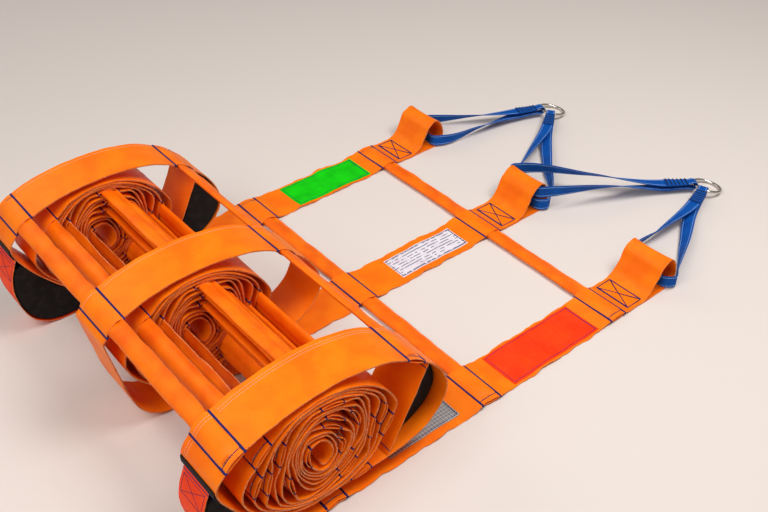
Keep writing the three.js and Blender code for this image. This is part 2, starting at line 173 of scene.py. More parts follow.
class Line:
    """A smooth line through points, in two or three dimensions, measured along its length."""

    # How many points a closed line repeats past each end, so that its slopes agree there.
    MARGIN = 3

    def __init__(self, points: Array, closed: bool = False) -> None:
        """Fits the line.

        Args:
            points: The points that it passes through, one a row.
            closed: Whether it comes back to its first point.
        """
        points = np.asarray(points, float)
        self.closed = closed
        count = len(points)
        margin = self.MARGIN if closed else 0
        if closed:
            points = points[np.arange(-margin, count + margin + 1) % count]
        places = run_along(points)
        self.start = places[margin]
        self.length = (places[count + margin] if closed else places[-1]) - self.start
        self.points = points
        self.places = places
        spans = np.diff(places)[:, None]
        slopes = np.diff(points, axis=0) / spans
        inner = (slopes[:-1] * spans[1:] + slopes[1:] * spans[:-1]) / (spans[:-1] + spans[1:])
        self.slopes = np.concatenate([slopes[:1], inner, slopes[-1:]])

    def at(self, places: Array) -> Array:
        """The points at these places along the line.

        Args:
            places: Distances from the line's start, in metres.

        Returns:
            One point a row.
        """
        wanted = np.asarray(places, float)
        if self.closed:
            wanted = np.mod(wanted, self.length)
        wanted = np.clip(wanted + self.start, self.places[0], self.places[-1])
        index = np.clip(np.searchsorted(self.places, wanted, side="right") - 1, 0, len(self.places) - 2)
        span = (self.places[index + 1] - self.places[index])[..., None]
        t = (wanted - self.places[index])[..., None] / span
        a, b = self.points[index], self.points[index + 1]
        ma, mb = self.slopes[index] * span, self.slopes[index + 1] * span
        square, cube = t * t, t * t * t
        return (
            (2 * cube - 3 * square + 1) * a
            + (cube - 2 * square + t) * ma
            + (3 * square - 2 * cube) * b
            + (cube - square) * mb
        )

    def along(self, places: Array) -> Array:
        """The direction of the line at these places."""
        reach = 1.5 * MM
        places = np.asarray(places, float)
        if self.closed:
            return unit(self.at(places + reach) - self.at(places - reach))
        low = np.clip(places - reach, 0, self.length)
        high = np.clip(places + reach, 0, self.length)
        return unit(self.at(high) - self.at(low))

    def inward(self, places: Array) -> Array:
        """On a line in the (Y, Z) plane, the direction up from the laid-out straps."""
        tangent = self.along(places)
        return np.stack([tangent[..., 1], -tangent[..., 0]], -1)

    def nearest(self, point: Array) -> float:
        """The place that is nearest to a point."""
        tried = np.linspace(0, self.length, 4000)
        return float(tried[np.argmin(np.linalg.norm(self.at(tried) - point, axis=1))])


def outline(node: str) -> Array:
    """The outer outline, in the (Y, Z) plane, of a CAD node that was pushed out along X.

    Args:
        node: The CAD node's name.

    Returns:
        The outline's corners in order, one a row.
    """
    mesh = frame["nodes"][node].data
    mesh.calc_loop_triangles()
    places = np.zeros(len(mesh.vertices) * 3, np.float32)
    mesh.vertices.foreach_get("co", places)
    corners = np.zeros(len(mesh.loop_triangles) * 3, np.int32)
    mesh.loop_triangles.foreach_get("vertices", corners)
    points, merged = np.unique(np.round(places.reshape(-1, 3), 6), axis=0, return_inverse=True)
    triangles = merged.reshape(-1)[corners].reshape(-1, 3)
    on_side = np.abs(points[triangles][:, :, 0] - points[:, 0].min()) < 2e-6
    edges = {(t[i], t[(i + 1) % 3]) for t in triangles[on_side.all(1)] for i in range(3)}
    after = {a: b for a, b in edges if (b, a) not in edges}
    loops = []
    while after:
        start, here = after.popitem()
        loop = [start]
        while here != start:
            loop.append(here)
            here = after.pop(here)
        loops.append(points[loop][:, 1:])
    return max(loops, key=lambda loop: np.linalg.norm(np.roll(loop, 1, 0) - loop, axis=1).sum())


def middle_line(node: str, near: Array) -> tuple[Array, Array]:
    """The middle line of a thin CAD band and half its thickness along it.

    Args:
        node: A CAD node whose two long sides have matching corners.
        near: A point, in the (Y, Z) plane, near the end where the line starts.

    Returns:
        The middle points and the half thicknesses.
    """
    loop = outline(node)
    half = len(loop) // 2

    def apart(start: int) -> float:
        """How far apart the two sides are, in all, if the first starts here."""
        turned = np.roll(loop, -start, axis=0)
        return float(np.linalg.norm(turned[:half] - turned[: half - 1 : -1], axis=1).sum())

    best = np.roll(loop, -min(range(len(loop)), key=apart), axis=0)
    upper, lower = best[:half], best[: half - 1 : -1]
    middles, halves = (upper + lower) / 2, np.linalg.norm(upper - lower, axis=1) / 2
    if np.linalg.norm(middles[-1] - near) < np.linalg.norm(middles[0] - near):
        middles, halves = middles[::-1], halves[::-1]
    return middles, halves


@dataclass
class Skin:
    """Lofted skins gathered into one mesh of four-cornered faces."""

    points: list[Array] = field(default_factory=list)
    faces: list[Array] = field(default_factory=list)
    maps: list[Array] = field(default_factory=list)
    slots: list[Array] = field(default_factory=list)
    count: int = 0

    def loft(
        self,
        rings: Array,
        around: Array | None = None,
        along: Array | None = None,
        slots: Sequence[int] | int = 0,
        cap_slot: int | None = None,
        closed: bool = False,
    ) -> None:
        """Adds a tube with its ends shut.

        Args:
            rings: Sections one after another: (sections, points, 3). A section has an even number of
                points, whose first half faces its second half.
            around: The pattern's place at each point of a section, with one more for the way back.
            along: The pattern's place at each section.
            slots: The material slot of each face of a section, or one for all.
            cap_slot: The slot of the two end faces, if it isn't the first of slots.
            closed: Whether the last section meets the first, as on a ring.
        """
        sections, size, _ = rings.shape
        flat = rings.reshape(-1, 3)
        if around is None:
            steps = np.linalg.norm(np.roll(rings[0], -1, 0) - rings[0], axis=1)
            around = np.concatenate([[0], np.cumsum(steps)])
        if along is None:
            along = run_along(rings.mean(1))
        spans = sections if closed else sections - 1
        row, column = np.meshgrid(np.arange(spans), np.arange(size), indexing="ij")
        here, ahead = row * size, (row + 1) % sections * size
        beside = (column + 1) % size
        faces = np.stack([here + column, here + beside, ahead + beside, ahead + column], -1).reshape(-1, 4)
        around, along = np.asarray(around), np.asarray(along)
        if closed:
            along = np.concatenate([along, [2 * along[-1] - along[-2]]])
        u = np.stack([around[column], around[column + 1], around[column + 1], around[column]], -1)
        v = np.stack([along[row], along[row], along[row + 1], along[row + 1]], -1)
        maps = np.stack([u, v], -1).reshape(-1, 4, 2)
        per_face = np.broadcast_to(np.atleast_1d(slots), (size,))
        slot_of = np.tile(per_face, spans)
        if not closed:
            i = np.arange(size // 2 - 1)
            cap = np.stack([i, size - 1 - i, size - 2 - i, i + 1], -1)
            far = cap[:, ::-1] + (sections - 1) * size
            cap_at = np.stack([around[cap] - around[cap].mean(), np.zeros(cap.shape)], -1)
            faces = np.concatenate([faces, cap, far])
            maps = np.concatenate([maps, cap_at + [0, along[0]], cap_at[:, ::-1] + [0, along[-1]]])
            end = per_face[0] if cap_slot is None else cap_slot
            slot_of = np.concatenate([slot_of, np.full(2 * len(cap), end)])
        a, b, c, d = (flat[faces[:, k]] for k in range(4))
        if (np.cross(a, b) * c + np.cross(a, c) * d).sum() < 0:
            faces, maps = faces[:, ::-1], maps[:, ::-1]
        self.points.append(flat)
        self.faces.append(faces + self.count)
        self.maps.append(maps)
        self.slots.append(slot_of)
        self.count += len(flat)

    def thread(
        self,
        path: Array,
        out: Array,
        radius: float,
        stitch: float,
        slot: int = 0,
        closed: bool = False,
        tight: float = 0.55,
        steps: int = 4,
    ) -> None:
        """Adds a sewn thread: a rope of stitches that dips into the cloth between them.

        Args:
            path: The seam's points, one a row.
            out: The way out of the cloth at each point.
            radius: The thread's radius at the middle of a stitch.
            stitch: The length of a stitch.
            slot: Its material slot.
            closed: Whether the seam comes back to its start.
            tight: How far the thread narrows between two stitches, from 0 to 1.
            steps: Sections a stitch.
        """
        if closed:
            path, out = np.concatenate([path, path[:1]]), np.concatenate([out, out[:1]])
        places = run_along(path)
        count = max(2, round(places[-1] / stitch)) * steps
        wanted = np.linspace(0, places[-1], count + 1)
        if closed:
            wanted = wanted[:-1]
        line = np.stack([np.interp(wanted, places, path[:, k]) for k in range(3)], -1)
        up = unit(np.stack([np.interp(wanted, places, out[:, k]) for k in range(3)], -1))
        ahead = np.roll(line, -1, 0) - np.roll(line, 1, 0)
        if not closed:
            ahead[0], ahead[-1] = line[1] - line[0], line[-1] - line[-2]
        across = unit(np.cross(unit(ahead), up))
        swell = 1 - tight * (0.5 + 0.5 * np.cos(2 * math.pi * np.arange(len(line)) / steps))
        angles = np.arange(6) * math.pi / 3
        rim = across[:, None] * np.cos(angles)[:, None] + up[:, None] * (0.75 * np.sin(angles)[:, None])
        self.loft(line[:, None] + rim * (radius * swell)[:, None, None], slots=slot, closed=closed)

    def build(self, name: str, materials: Sequence[Material], sharp: float = 50) -> bpy.types.Object:
        """Makes the mesh object.

        Args:
            name: The piece's name.
            materials: Its materials, in slot order.
            sharp: Edges that bend by more than this many degrees stay crisp.

        Returns:
            The new object, linked to the scene.
        """
        points, faces = np.concatenate(self.points), np.concatenate(self.faces)
        mesh = bpy.data.meshes.new(name)
        mesh.vertices.add(len(points))
        mesh.vertices.foreach_set("co", points.astype(np.float32).ravel())
        mesh.loops.add(faces.size)
        mesh.loops.foreach_set("vertex_index", faces.astype(np.int32).ravel())
        mesh.polygons.add(len(faces))
        mesh.polygons.foreach_set("loop_start", np.arange(0, faces.size, 4, dtype=np.int32))
        mesh.polygons.foreach_set("material_index", np.concatenate(self.slots).astype(np.int32))
        layer = mesh.uv_layers.new(name=FABRIC_MAP)
        layer.uv.foreach_set("vector", np.concatenate(self.maps).astype(np.float32).ravel())
        mesh.update(calc_edges=True)
        mesh.validate()
        mesh.shade_smooth()
        mesh.set_sharp_from_angle(angle=math.radians(sharp))
        for material in materials:
            mesh.materials.append(material)
        made = bpy.data.objects.new(name, mesh)
        bpy.context.scene.collection.objects.link(made)
        return made


def settle(
    piece: bpy.types.Object, body: str | None, replaces: Sequence[str] = ()
) -> bpy.types.Object:
    """Fastens a finished piece to its body, hides the CAD nodes that it stands for and logs it.

    Args:
        piece: The piece.
        body: The CAD body that it rides on, or None to leave it unfastened.
        replaces: The CAD nodes that it stands for.

    Returns:
        The same piece.
    """
    if body is not None:
        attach(piece, body)
    if replaces:
        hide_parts(*replaces)
    log.info("%s: %d faces on %s", piece.name, len(piece.data.polygons), body or "two bodies")
    return piece


# ---------------------------------------------------------------------------
# Finishes
# ---------------------------------------------------------------------------


def linear(colour: str) -> tuple[float, float, float, float]:
    """A six-digit sRGB hex colour as linear red, green, blue and a full alpha."""
    values = [int(colour[i : i + 2], 16) / 255 for i in (0, 2, 4)]
    red, green, blue = (v / 12.92 if v <= 0.04045 else ((v + 0.055) / 1.055) ** 2.4 for v in values)
    return red, green, blue, 1.0


def feed(node: bpy.types.Node, inputs: dict) -> None:
    """Sets a shader node's inputs.

    Args:
        node: The node.
        inputs: Input name or number to a value, or to the socket that feeds it.
    """
    for key, value in inputs.items():
        if isinstance(value, Socket):
            node.id_data.links.new(value, node.inputs[key])
        else:
            node.inputs[key].default_value = value


def add(tree: Tree, kind: str, inputs: dict | None = None, **settings: object) -> bpy.types.Node:
    """Adds a shader node.

    Args:
        tree: The material's node tree.
        kind: The node's type, without its ShaderNode prefix.
        inputs: Input name or number to a value, or to the socket that feeds it.
        **settings: The node's own settings.

    Returns:
        The node.
    """
    node = tree.nodes.new("ShaderNode" + kind)
    for key, value in settings.items():
        setattr(node, key, value)
    feed(node, inputs or {})
    return node


def wave_scale(spacing: float) -> float:
    """The scale at which a wave texture's bands are this far apart, in metres."""
    return 2 * math.pi / (20 * spacing)


def ramp(tree: Tree, factor: Socket, stops: Sequence[tuple[float, str]]) -> Socket:
    """A colour that runs through the stops as the factor rises.

    Args:
        tree: The material's node tree.
        factor: What drives it.
        stops: Places from 0 to 1 and their sRGB hex colours.

    Returns:
        The colour socket.
    """
    node = add(tree, "ValToRGB", {"Fac": factor})
    while len(node.color_ramp.elements) < len(stops):
        node.color_ramp.elements.new(0.5)
    for element, (place, colour) in zip(node.color_ramp.elements, stops, strict=True):
        element.position = place
        element.color = linear(colour)
    return node.outputs["Color"]


def mixed(tree: Tree, factor: Socket, first: object, second: object) -> Socket:
    """A colour between two, each a socket or a value. A Mix node's colours are its inputs 6 and 7."""
    return add(tree, "Mix", {0: factor, 6: first, 7: second}, data_type="RGBA").outputs[2]


class Finish:
    """What every finish does: it makes its material, and feeds the shader from its own recipe."""

    name: str

    def material(self) -> Material:
        """The material, ready to be put on a piece."""
        material = bpy.data.materials.new(self.name)
        material.use_nodes = True
        tree = material.node_tree
        tree.nodes.clear()
        shader = add(tree, "BsdfPrincipled")
        add(tree, "OutputMaterial", {"Surface": shader.outputs[0]})
        feed(shader, self.recipe(tree))
        return material

    def recipe(self, tree: Tree) -> dict:
        """Adds the finish's own nodes and returns what each of the shader's inputs gets."""
        raise NotImplementedError


@dataclass(frozen=True)
class CoatedFabric(Finish):
    """Woven polyester with a soft PVC coat, calendered on both faces, cut with a hot knife.

    The coat gives a satin, saturated colour with a broad sheen. The weave under it shows as a faint
    grid, and handling leaves duller, paler scuffs and soft dents.
    """

    name: str
    colour: str
    shade: str
    scuff: str
    roughness: float = 0.44
    gloss: float = 0.24
    thread_spacing: float = 1.6 * MM
    weave_depth: float = 0.10 * MM
    dent_depth: float = 1.1 * MM
    dent_size: float = 45 * MM
    scuff_size: float = 9 * MM
    wear: float = 0.5

    def recipe(self, tree: Tree) -> dict:
        """Mixes this finish's nodes; see Finish.recipe."""
        place = add(tree, "UVMap", uv_map=FABRIC_MAP).outputs[0]
        cloudy = add(tree, "TexNoise", {"Vector": place, "Scale": 1 / self.dent_size, "Detail": 3.0})
        marks = add(
            tree, "TexNoise", {"Vector": place, "Scale": 1 / self.scuff_size, "Detail": 6.0, "Roughness": 0.7}
        )
        body = ramp(tree, cloudy.outputs[0], [(0.32, self.shade), (0.62, self.colour)])
        wear_and_rib_shade = add(
            tree,
            "MapRange",
            {"Value": marks.outputs[0], "From Min": 0.58, "From Max": 0.76, "To Max": self.wear},
        )
        colour = mixed(tree, wear_and_rib_shade.outputs[0], body, linear(self.scuff))
        rough = add(
            tree,
            "MapRange",
            {
                "Value": marks.outputs[0],
                "From Min": 0.3,
                "From Max": 0.7,
                "To Min": self.roughness - 0.06,
                "To Max": self.roughness + 0.1,
            },
        )
        warp, weft = (
            add(
                tree,
                "TexWave",
                {"Vector": place, "Scale": wave_scale(self.thread_spacing), "Distortion": 0.4},
                bands_direction=axis,
            )
            for axis in ("X", "Y")
        )
        grid = add(tree, "Math", {0: warp.outputs["Fac"], 1: weft.outputs["Fac"]}, operation="MULTIPLY")
        dents = add(tree, "Bump", {"Height": cloudy.outputs[0], "Distance": self.dent_depth, "Strength": 0.7})
        weave = add(
            tree,
            "Bump",
            {
                "Height": grid.outputs[0],
                "Distance": self.weave_depth,
                "Strength": 0.6,
                "Normal": dents.outputs[0],
            },
        )
        return {
            "Base Color": colour,
            "Roughness": rough.outputs[0],
            "Normal": weave.outputs[0],
            "IOR": 1.5,
            "Specular IOR Level": self.gloss,
        }


@dataclass(frozen=True)
class CutEdge(Finish):
    """The cut edge of coated fabric: the sawn-through weave, darker than the coat, with pale fibre ends; on
    the orange edge their pinkish tint is also a painted highlight along the edge.
    """

    name: str
    colour: str
    # Pale fibre ends; on the orange edge the pinkish tint is also a painted highlight.
    fibre: str
    fibre_size: float = 2.2 * MM

    def recipe(self, tree: Tree) -> dict:
        """Mixes this finish's nodes; see Finish.recipe."""
        place = add(tree, "TexCoord").outputs["Object"]
        fibres = add(tree, "TexNoise", {"Vector": place, "Scale": 1 / self.fibre_size, "Detail": 4.0})
        colour = ramp(tree, fibres.outputs[0], [(0.45, self.colour), (0.72, self.fibre)])
        bump = add(tree, "Bump", {"Height": fibres.outputs[0], "Distance": 0.4 * MM, "Strength": 0.8})
        return {"Base Color": colour, "Normal": bump.outputs[0], "Roughness": 0.85}


@dataclass(frozen=True)
class SewingThread(Finish):
    """Bonded polyester sewing thread: three twisted strands, slightly shiny along the twist; the paler colour
    on the twist's crests is a painted highlight.
    """

    name: str
    colour: str
    # The paler colour on the crests of the twist: a painted highlight.
    light: str
    roughness: float = 0.55
    twist_spacing: float = 0.9 * MM

    def recipe(self, tree: Tree) -> dict:
        """Mixes this finish's nodes; see Finish.recipe."""
        place = add(tree, "UVMap", uv_map=FABRIC_MAP).outputs[0]
        twist = add(
            tree,
            "TexWave",
            {"Vector": place, "Scale": wave_scale(self.twist_spacing), "Distortion": 0.5},
            bands_direction="DIAGONAL",
        )
        # The crests of the twist take the paler colour: a painted highlight.
        colour = ramp(tree, twist.outputs["Fac"], [(0.2, self.colour), (0.95, self.light)])
        bump = add(tree, "Bump", {"Height": twist.outputs["Fac"], "Distance": 0.15 * MM, "Strength": 0.7})
        return {
            "Base Color": colour,
            "Normal": bump.outputs[0],
            "Roughness": self.roughness,
            "Specular IOR Level": 0.25,
        }


@dataclass(frozen=True)
class WovenWebbing(Finish):
    """Polyester webbing, woven flat on a narrow loom: raised lengthwise ribs crossed by fine weft lines, with
    painted shade in the valleys between them.
    """

    name: str
    colour: str
    # The colour low between the ribs and weft: painted shade.
    valley_shade: str
    rib_spacing: float = 3.2 * MM
    weft_spacing: float = 2.6 * MM
    depth: float = 0.9 * MM

    def recipe(self, tree: Tree) -> dict:
        """Mixes this finish's nodes; see Finish.recipe."""
        place = add(tree, "UVMap", uv_map=FABRIC_MAP).outputs[0]
        ribs = add(
            tree,
            "TexWave",
            {"Vector": place, "Scale": wave_scale(self.rib_spacing), "Distortion": 0.6},
            bands_direction="X",
        )
        weft = add(
            tree,
            "TexWave",
            {"Vector": place, "Scale": wave_scale(self.weft_spacing), "Distortion": 0.8},
            bands_direction="Y",
        )
        knots = add(tree, "Math", {0: ribs.outputs["Fac"], 1: weft.outputs["Fac"]}, operation="MULTIPLY")
        fade = add(tree, "TexNoise", {"Vector": place, "Scale": 1 / (30 * MM), "Detail": 4.0})
        # Low between the ribs and weft the colour turns to painted shade; the broad noise adds a random fade.
        wear_and_rib_shade = add(tree, "Math", {0: knots.outputs[0], 1: fade.outputs[0]}, operation="ADD")
        colour = ramp(tree, wear_and_rib_shade.outputs[0], [(0.35, self.valley_shade), (1.0, self.colour)])
        bump = add(tree, "Bump", {"Height": knots.outputs[0], "Distance": self.depth, "Strength": 0.8})
        return {
            "Base Color": colour,
            "Normal": bump.outputs[0],
            "Roughness": 0.65,
            "Specular IOR Level": 0.15,
        }


@dataclass(frozen=True)
class FoamCover(Finish):
    """Black polyamide cover over closed-cell foam: a matt plain weave that drinks the light."""

    name: str = "black_woven_foam_cover"
    colour: str = "0D0B0A"
    lint: str = "231E1B"
    thread_spacing: float = 1.8 * MM

    def recipe(self, tree: Tree) -> dict:
        """Mixes this finish's nodes; see Finish.recipe."""
        place = add(tree, "TexCoord").outputs["Object"]
        threads = [
            add(
                tree,
                "TexWave",
                {"Vector": place, "Scale": wave_scale(self.thread_spacing), "Distortion": 0.7},
                bands_direction=axis,
            ).outputs["Fac"]
            for axis in ("Y", "Z")
        ]
        grid = add(tree, "Math", {0: threads[0], 1: threads[1]}, operation="MULTIPLY")
        soil = add(tree, "TexNoise", {"Vector": place, "Scale": 1 / (14 * MM), "Detail": 6.0})
        colour = ramp(tree, soil.outputs[0], [(0.45, self.colour), (0.85, self.lint)])
        dents = add(tree, "Bump", {"Height": soil.outputs[0], "Distance": 1.0 * MM, "Strength": 0.4})
        bump = add(
            tree,
            "Bump",
            {"Height": grid.outputs[0], "Distance": 0.3 * MM, "Strength": 0.6, "Normal": dents.outputs[0]},
        )
        return {"Base Color": colour, "Normal": bump.outputs[0], "Roughness": 0.8, "Specular IOR Level": 0.25}


@dataclass(frozen=True)
class PrintedVinyl(Finish):
    """White label vinyl, printed with plain grey rules on a lilac-white ground."""

    name: str = "white_ruled_vinyl"
    ground: str = "E9E6F0"
    tint: str = "D9CDDD"
    rule: str = "6F6F80"
    rule_spacing: float = 7 * MM

    def recipe(self, tree: Tree) -> dict:
        """Mixes this finish's nodes; see Finish.recipe."""
        place = add(tree, "UVMap", uv_map=FABRIC_MAP).outputs[0]
        smudge = add(tree, "TexNoise", {"Vector": place, "Scale": 1 / (28 * MM), "Detail": 4.0})
        ground = ramp(tree, smudge.outputs[0], [(0.4, self.ground), (0.75, self.tint)])
        rules = add(
            tree,
            "TexWave",
            {"Vector": place, "Scale": wave_scale(self.rule_spacing)},
            bands_direction="X",
        )
        breaks = add(tree, "TexNoise", {"Vector": place, "Scale": 1 / (12 * MM), "Detail": 1.0})
        thin = add(tree, "Math", {0: rules.outputs["Fac"], 1: 0.80}, operation="GREATER_THAN")
        there = add(tree, "Math", {0: breaks.outputs[0], 1: 0.46}, operation="GREATER_THAN")
        inked = add(tree, "Math", {0: thin.outputs[0], 1: there.outputs[0]}, operation="MULTIPLY")
        colour = mixed(tree, inked.outputs[0], ground, linear(self.rule))
        bump = add(tree, "Bump", {"Height": smudge.outputs[0], "Distance": 0.8 * MM, "Strength": 0.6})
        return {"Base Color": colour, "Normal": bump.outputs[0], "Roughness": 0.5}


@dataclass(frozen=True)
class ReflectiveSheet(Finish):
    """Retro-reflective PVC: sealed honeycomb cells of silver prisms between pale welded walls."""

    name: str = "honeycomb_reflective_sheet"
    cell: str = "9C9EA0"
    wall: str = "DADBDD"
    cell_size: float = 6 * MM

    def recipe(self, tree: Tree) -> dict:
        """Mixes this finish's nodes; see Finish.recipe."""
        place = add(tree, "UVMap", uv_map=FABRIC_MAP).outputs[0]
        cells = add(
            tree,
            "TexVoronoi",
            {"Vector": place, "Scale": 1 / self.cell_size, "Randomness": 0.12},
            feature="DISTANCE_TO_EDGE",
        )
        colour = ramp(tree, cells.outputs["Distance"], [(0.04, self.wall), (0.12, self.cell)])
        bump = add(tree, "Bump", {"Height": cells.outputs["Distance"], "Distance": 0.5 * MM, "Strength": 0.7})
        return {"Base Color": colour, "Normal": bump.outputs[0], "Metallic": 0.55, "Roughness": 0.38}


@dataclass(frozen=True)
class PolishedSteel(Finish):
    """Stainless steel wire, bent, butt-welded and tumbled bright, with fine handling scratches."""

    name: str = "polished_stainless_steel"
    colour: str = "D6D2CB"
    scratch_size: float = 1.5 * MM

    def recipe(self, tree: Tree) -> dict:
        """Mixes this finish's nodes; see Finish.recipe."""
        place = add(tree, "TexCoord").outputs["Object"]
        scratches = add(tree, "TexNoise", {"Vector": place, "Scale": 1 / self.scratch_size, "Detail": 5.0})
        rough = add(tree, "MapRange", {"Value": scratches.outputs[0], "To Min": 0.1, "To Max": 0.3})
        bump = add(tree, "Bump", {"Height": scratches.outputs[0], "Distance": 0.03 * MM, "Strength": 0.5})
        return {
            "Roughness": rough.outputs[0],
            "Normal": bump.outputs[0],
            "Base Color": linear(self.colour),
            "Metallic": 1.0,
        }


@dataclass(frozen=True)
class GlassFibre(Finish):
    """Pultruded glass-fibre batten: straw-coloured resin with straight glass strands along it."""

    name: str = "pultruded_glass_fibre"
    colour: str = "D9D2B0"
    strand: str = "B9B088"
    strand_spacing: float = 1.4 * MM

    def recipe(self, tree: Tree) -> dict:
        """Mixes this finish's nodes; see Finish.recipe."""
        place = add(tree, "TexCoord").outputs["Object"]
        strands = add(
            tree,
            "TexWave",
            {"Vector": place, "Scale": wave_scale(self.strand_spacing), "Distortion": 1.5},
            bands_direction="Y",
        )
        colour = ramp(tree, strands.outputs["Fac"], [(0.1, self.strand), (0.9, self.colour)])
        return {"Base Color": colour, "Roughness": 0.4}


@dataclass(frozen=True)
class StudioFloor(Finish):
    """Seamless background paper, matt and faintly warm."""

    name: str = "warm_white_paper"
    colour: str = "DFD7D2"

    def recipe(self, tree: Tree) -> dict:
        """Mixes this finish's nodes; see Finish.recipe."""
        return {"Base Color": linear(self.colour), "Roughness": 0.9, "Specular IOR Level": 0.2}


class Finishes:
    """Every material of the ladder, mixed once."""

    def __init__(self) -> None:
        """Mixes them all."""
        self.orange = CoatedFabric("orange_coated_polyester", "FF8000", "F96E00", "FF9A30").material()
        self.sleeve = CoatedFabric(
            "orange_sleeve_polyester", "FC7800", "F06000", "FF9238", roughness=0.46, dent_depth=1.6 * MM
        ).material()
        self.red_orange = CoatedFabric(
            "red_orange_woven_polyester", "FF4A06", "F03A02", "FF6A30", roughness=0.6, weave_depth=0.25 * MM
        ).material()
        self.red = CoatedFabric(
            "signal_red_coated_polyester", "FF4000", "F83200", "FF5A20", roughness=0.46, dent_depth=2.0 * MM
        ).material()
        self.green = CoatedFabric(
            "signal_green_coated_polyester",
            "06D800",
            "00C000",
            "3CE824",
            dent_depth=3.0 * MM,
            dent_size=28 * MM,
        ).material()
        # The orange cut edge's pinkish second colour is partly a painted highlight along the edges.
        self.edge = CutEdge("orange_cut_edge", "D86A18", "F2B48A").material()
        self.dark_edge = CutEdge("sleeve_cut_end", "A8622A", "D8C8B8").material()
        # Each thread's second colour is a painted highlight on the crests of its twist.
        self.navy = SewingThread("navy_bonded_thread", "050838", "161E78").material()
        self.pink = SewingThread("faded_hem_thread", "E88A62", "FFC0A0").material()
        self.pale_blue = SewingThread("pale_blue_edge_thread", "7CB4EE", "C4E0FF").material()
        self.black_thread = SewingThread("black_tack_thread", "0A0A12", "2A2A38").material()
        # Each webbing's second colour is painted shade in the valleys between its ribs.
        self.webbing = WovenWebbing("blue_woven_webbing", "0060C0", "003C90").material()
        self.black_tape = WovenWebbing("black_woven_tape", "221D1C", "0C0A0A").material()
        self.foam = FoamCover().material()
        self.label = PrintedVinyl().material()
        self.reflective = ReflectiveSheet().material()
        self.steel = PolishedSteel().material()
        self.core = GlassFibre().material()
        self.floor = StudioFloor().material()


# ---------------------------------------------------------------------------
# Straps
# ---------------------------------------------------------------------------


@dataclass
class StrapRoute:
    """The way one stretch of strap takes through the (Y, Z) plane, with its pockets."""

    line: Line
    pockets: list[float]
    ladder_start: float

    # Half a pocket's thickness is more than this, and half a flat strap's is less.
    OPEN_POCKET = 5 * MM
    # How far from a pocket's middle the cloth is bent enough to need close stations.
    POCKET_REACH = 24 * MM
    # Farther from any pocket than a strap is long.
    NO_POCKET = 1.0

    @classmethod
    def from_node(cls, node: str, near: Array, ladder_start: float) -> "StrapRoute":
        """Reads the route from a CAD strap.

        Args:
            node: The CAD strap.
            near: A point near the end where the route starts.
            ladder_start: How far along the whole ladder the route starts.

        Returns:
            The route.
        """
        middles, halves = middle_line(node, near)
        line = Line(middles)
        full = halves > cls.OPEN_POCKET
        inside = np.flatnonzero(full[:-2] & full[1:-1] & full[2:]) + 1
        return cls(line, [line.places[i] for i in inside], ladder_start)

    def from_pocket(self, places: Array) -> Array:
        """The signed distance to the nearest pocket's middle."""
        if not self.pockets:
            return np.full(np.shape(places), self.NO_POCKET)
        apart = np.asarray(places)[..., None] - np.asarray(self.pockets)
        nearest = np.argmin(np.abs(apart), -1)
        return np.take_along_axis(apart, nearest[..., None], -1)[..., 0]

    def stations(self, low: float, high: float, coarse: float, fine: float = 2.5 * MM) -> Array:
        """Places from low to high, closer together at the pockets."""
        rims = [p + way * self.POCKET_REACH for p in self.pockets for way in (-1, 1)]
        edges = sorted({low, high, *(rim for rim in rims if low < rim < high)})
        found = [np.array([low])]
        for start, end in zip(edges[:-1], edges[1:], strict=True):
            in_pocket = abs(self.from_pocket((start + end) / 2)) < self.POCKET_REACH
            count = max(1, round((end - start) / (fine if in_pocket else coarse)))
            found.append(np.linspace(start, end, count + 1)[1:])
        return np.concatenate(found)

    def sections(self, places: Array, x: Array, off: Array) -> Array:
        """Points at each X, this far off the line on its inward side: (places, points, 3)."""
        flat = self.line.at(places)[:, None] + self.line.inward(places)[:, None] * off[..., None]
        return np.concatenate([x[..., None], flat], -1)


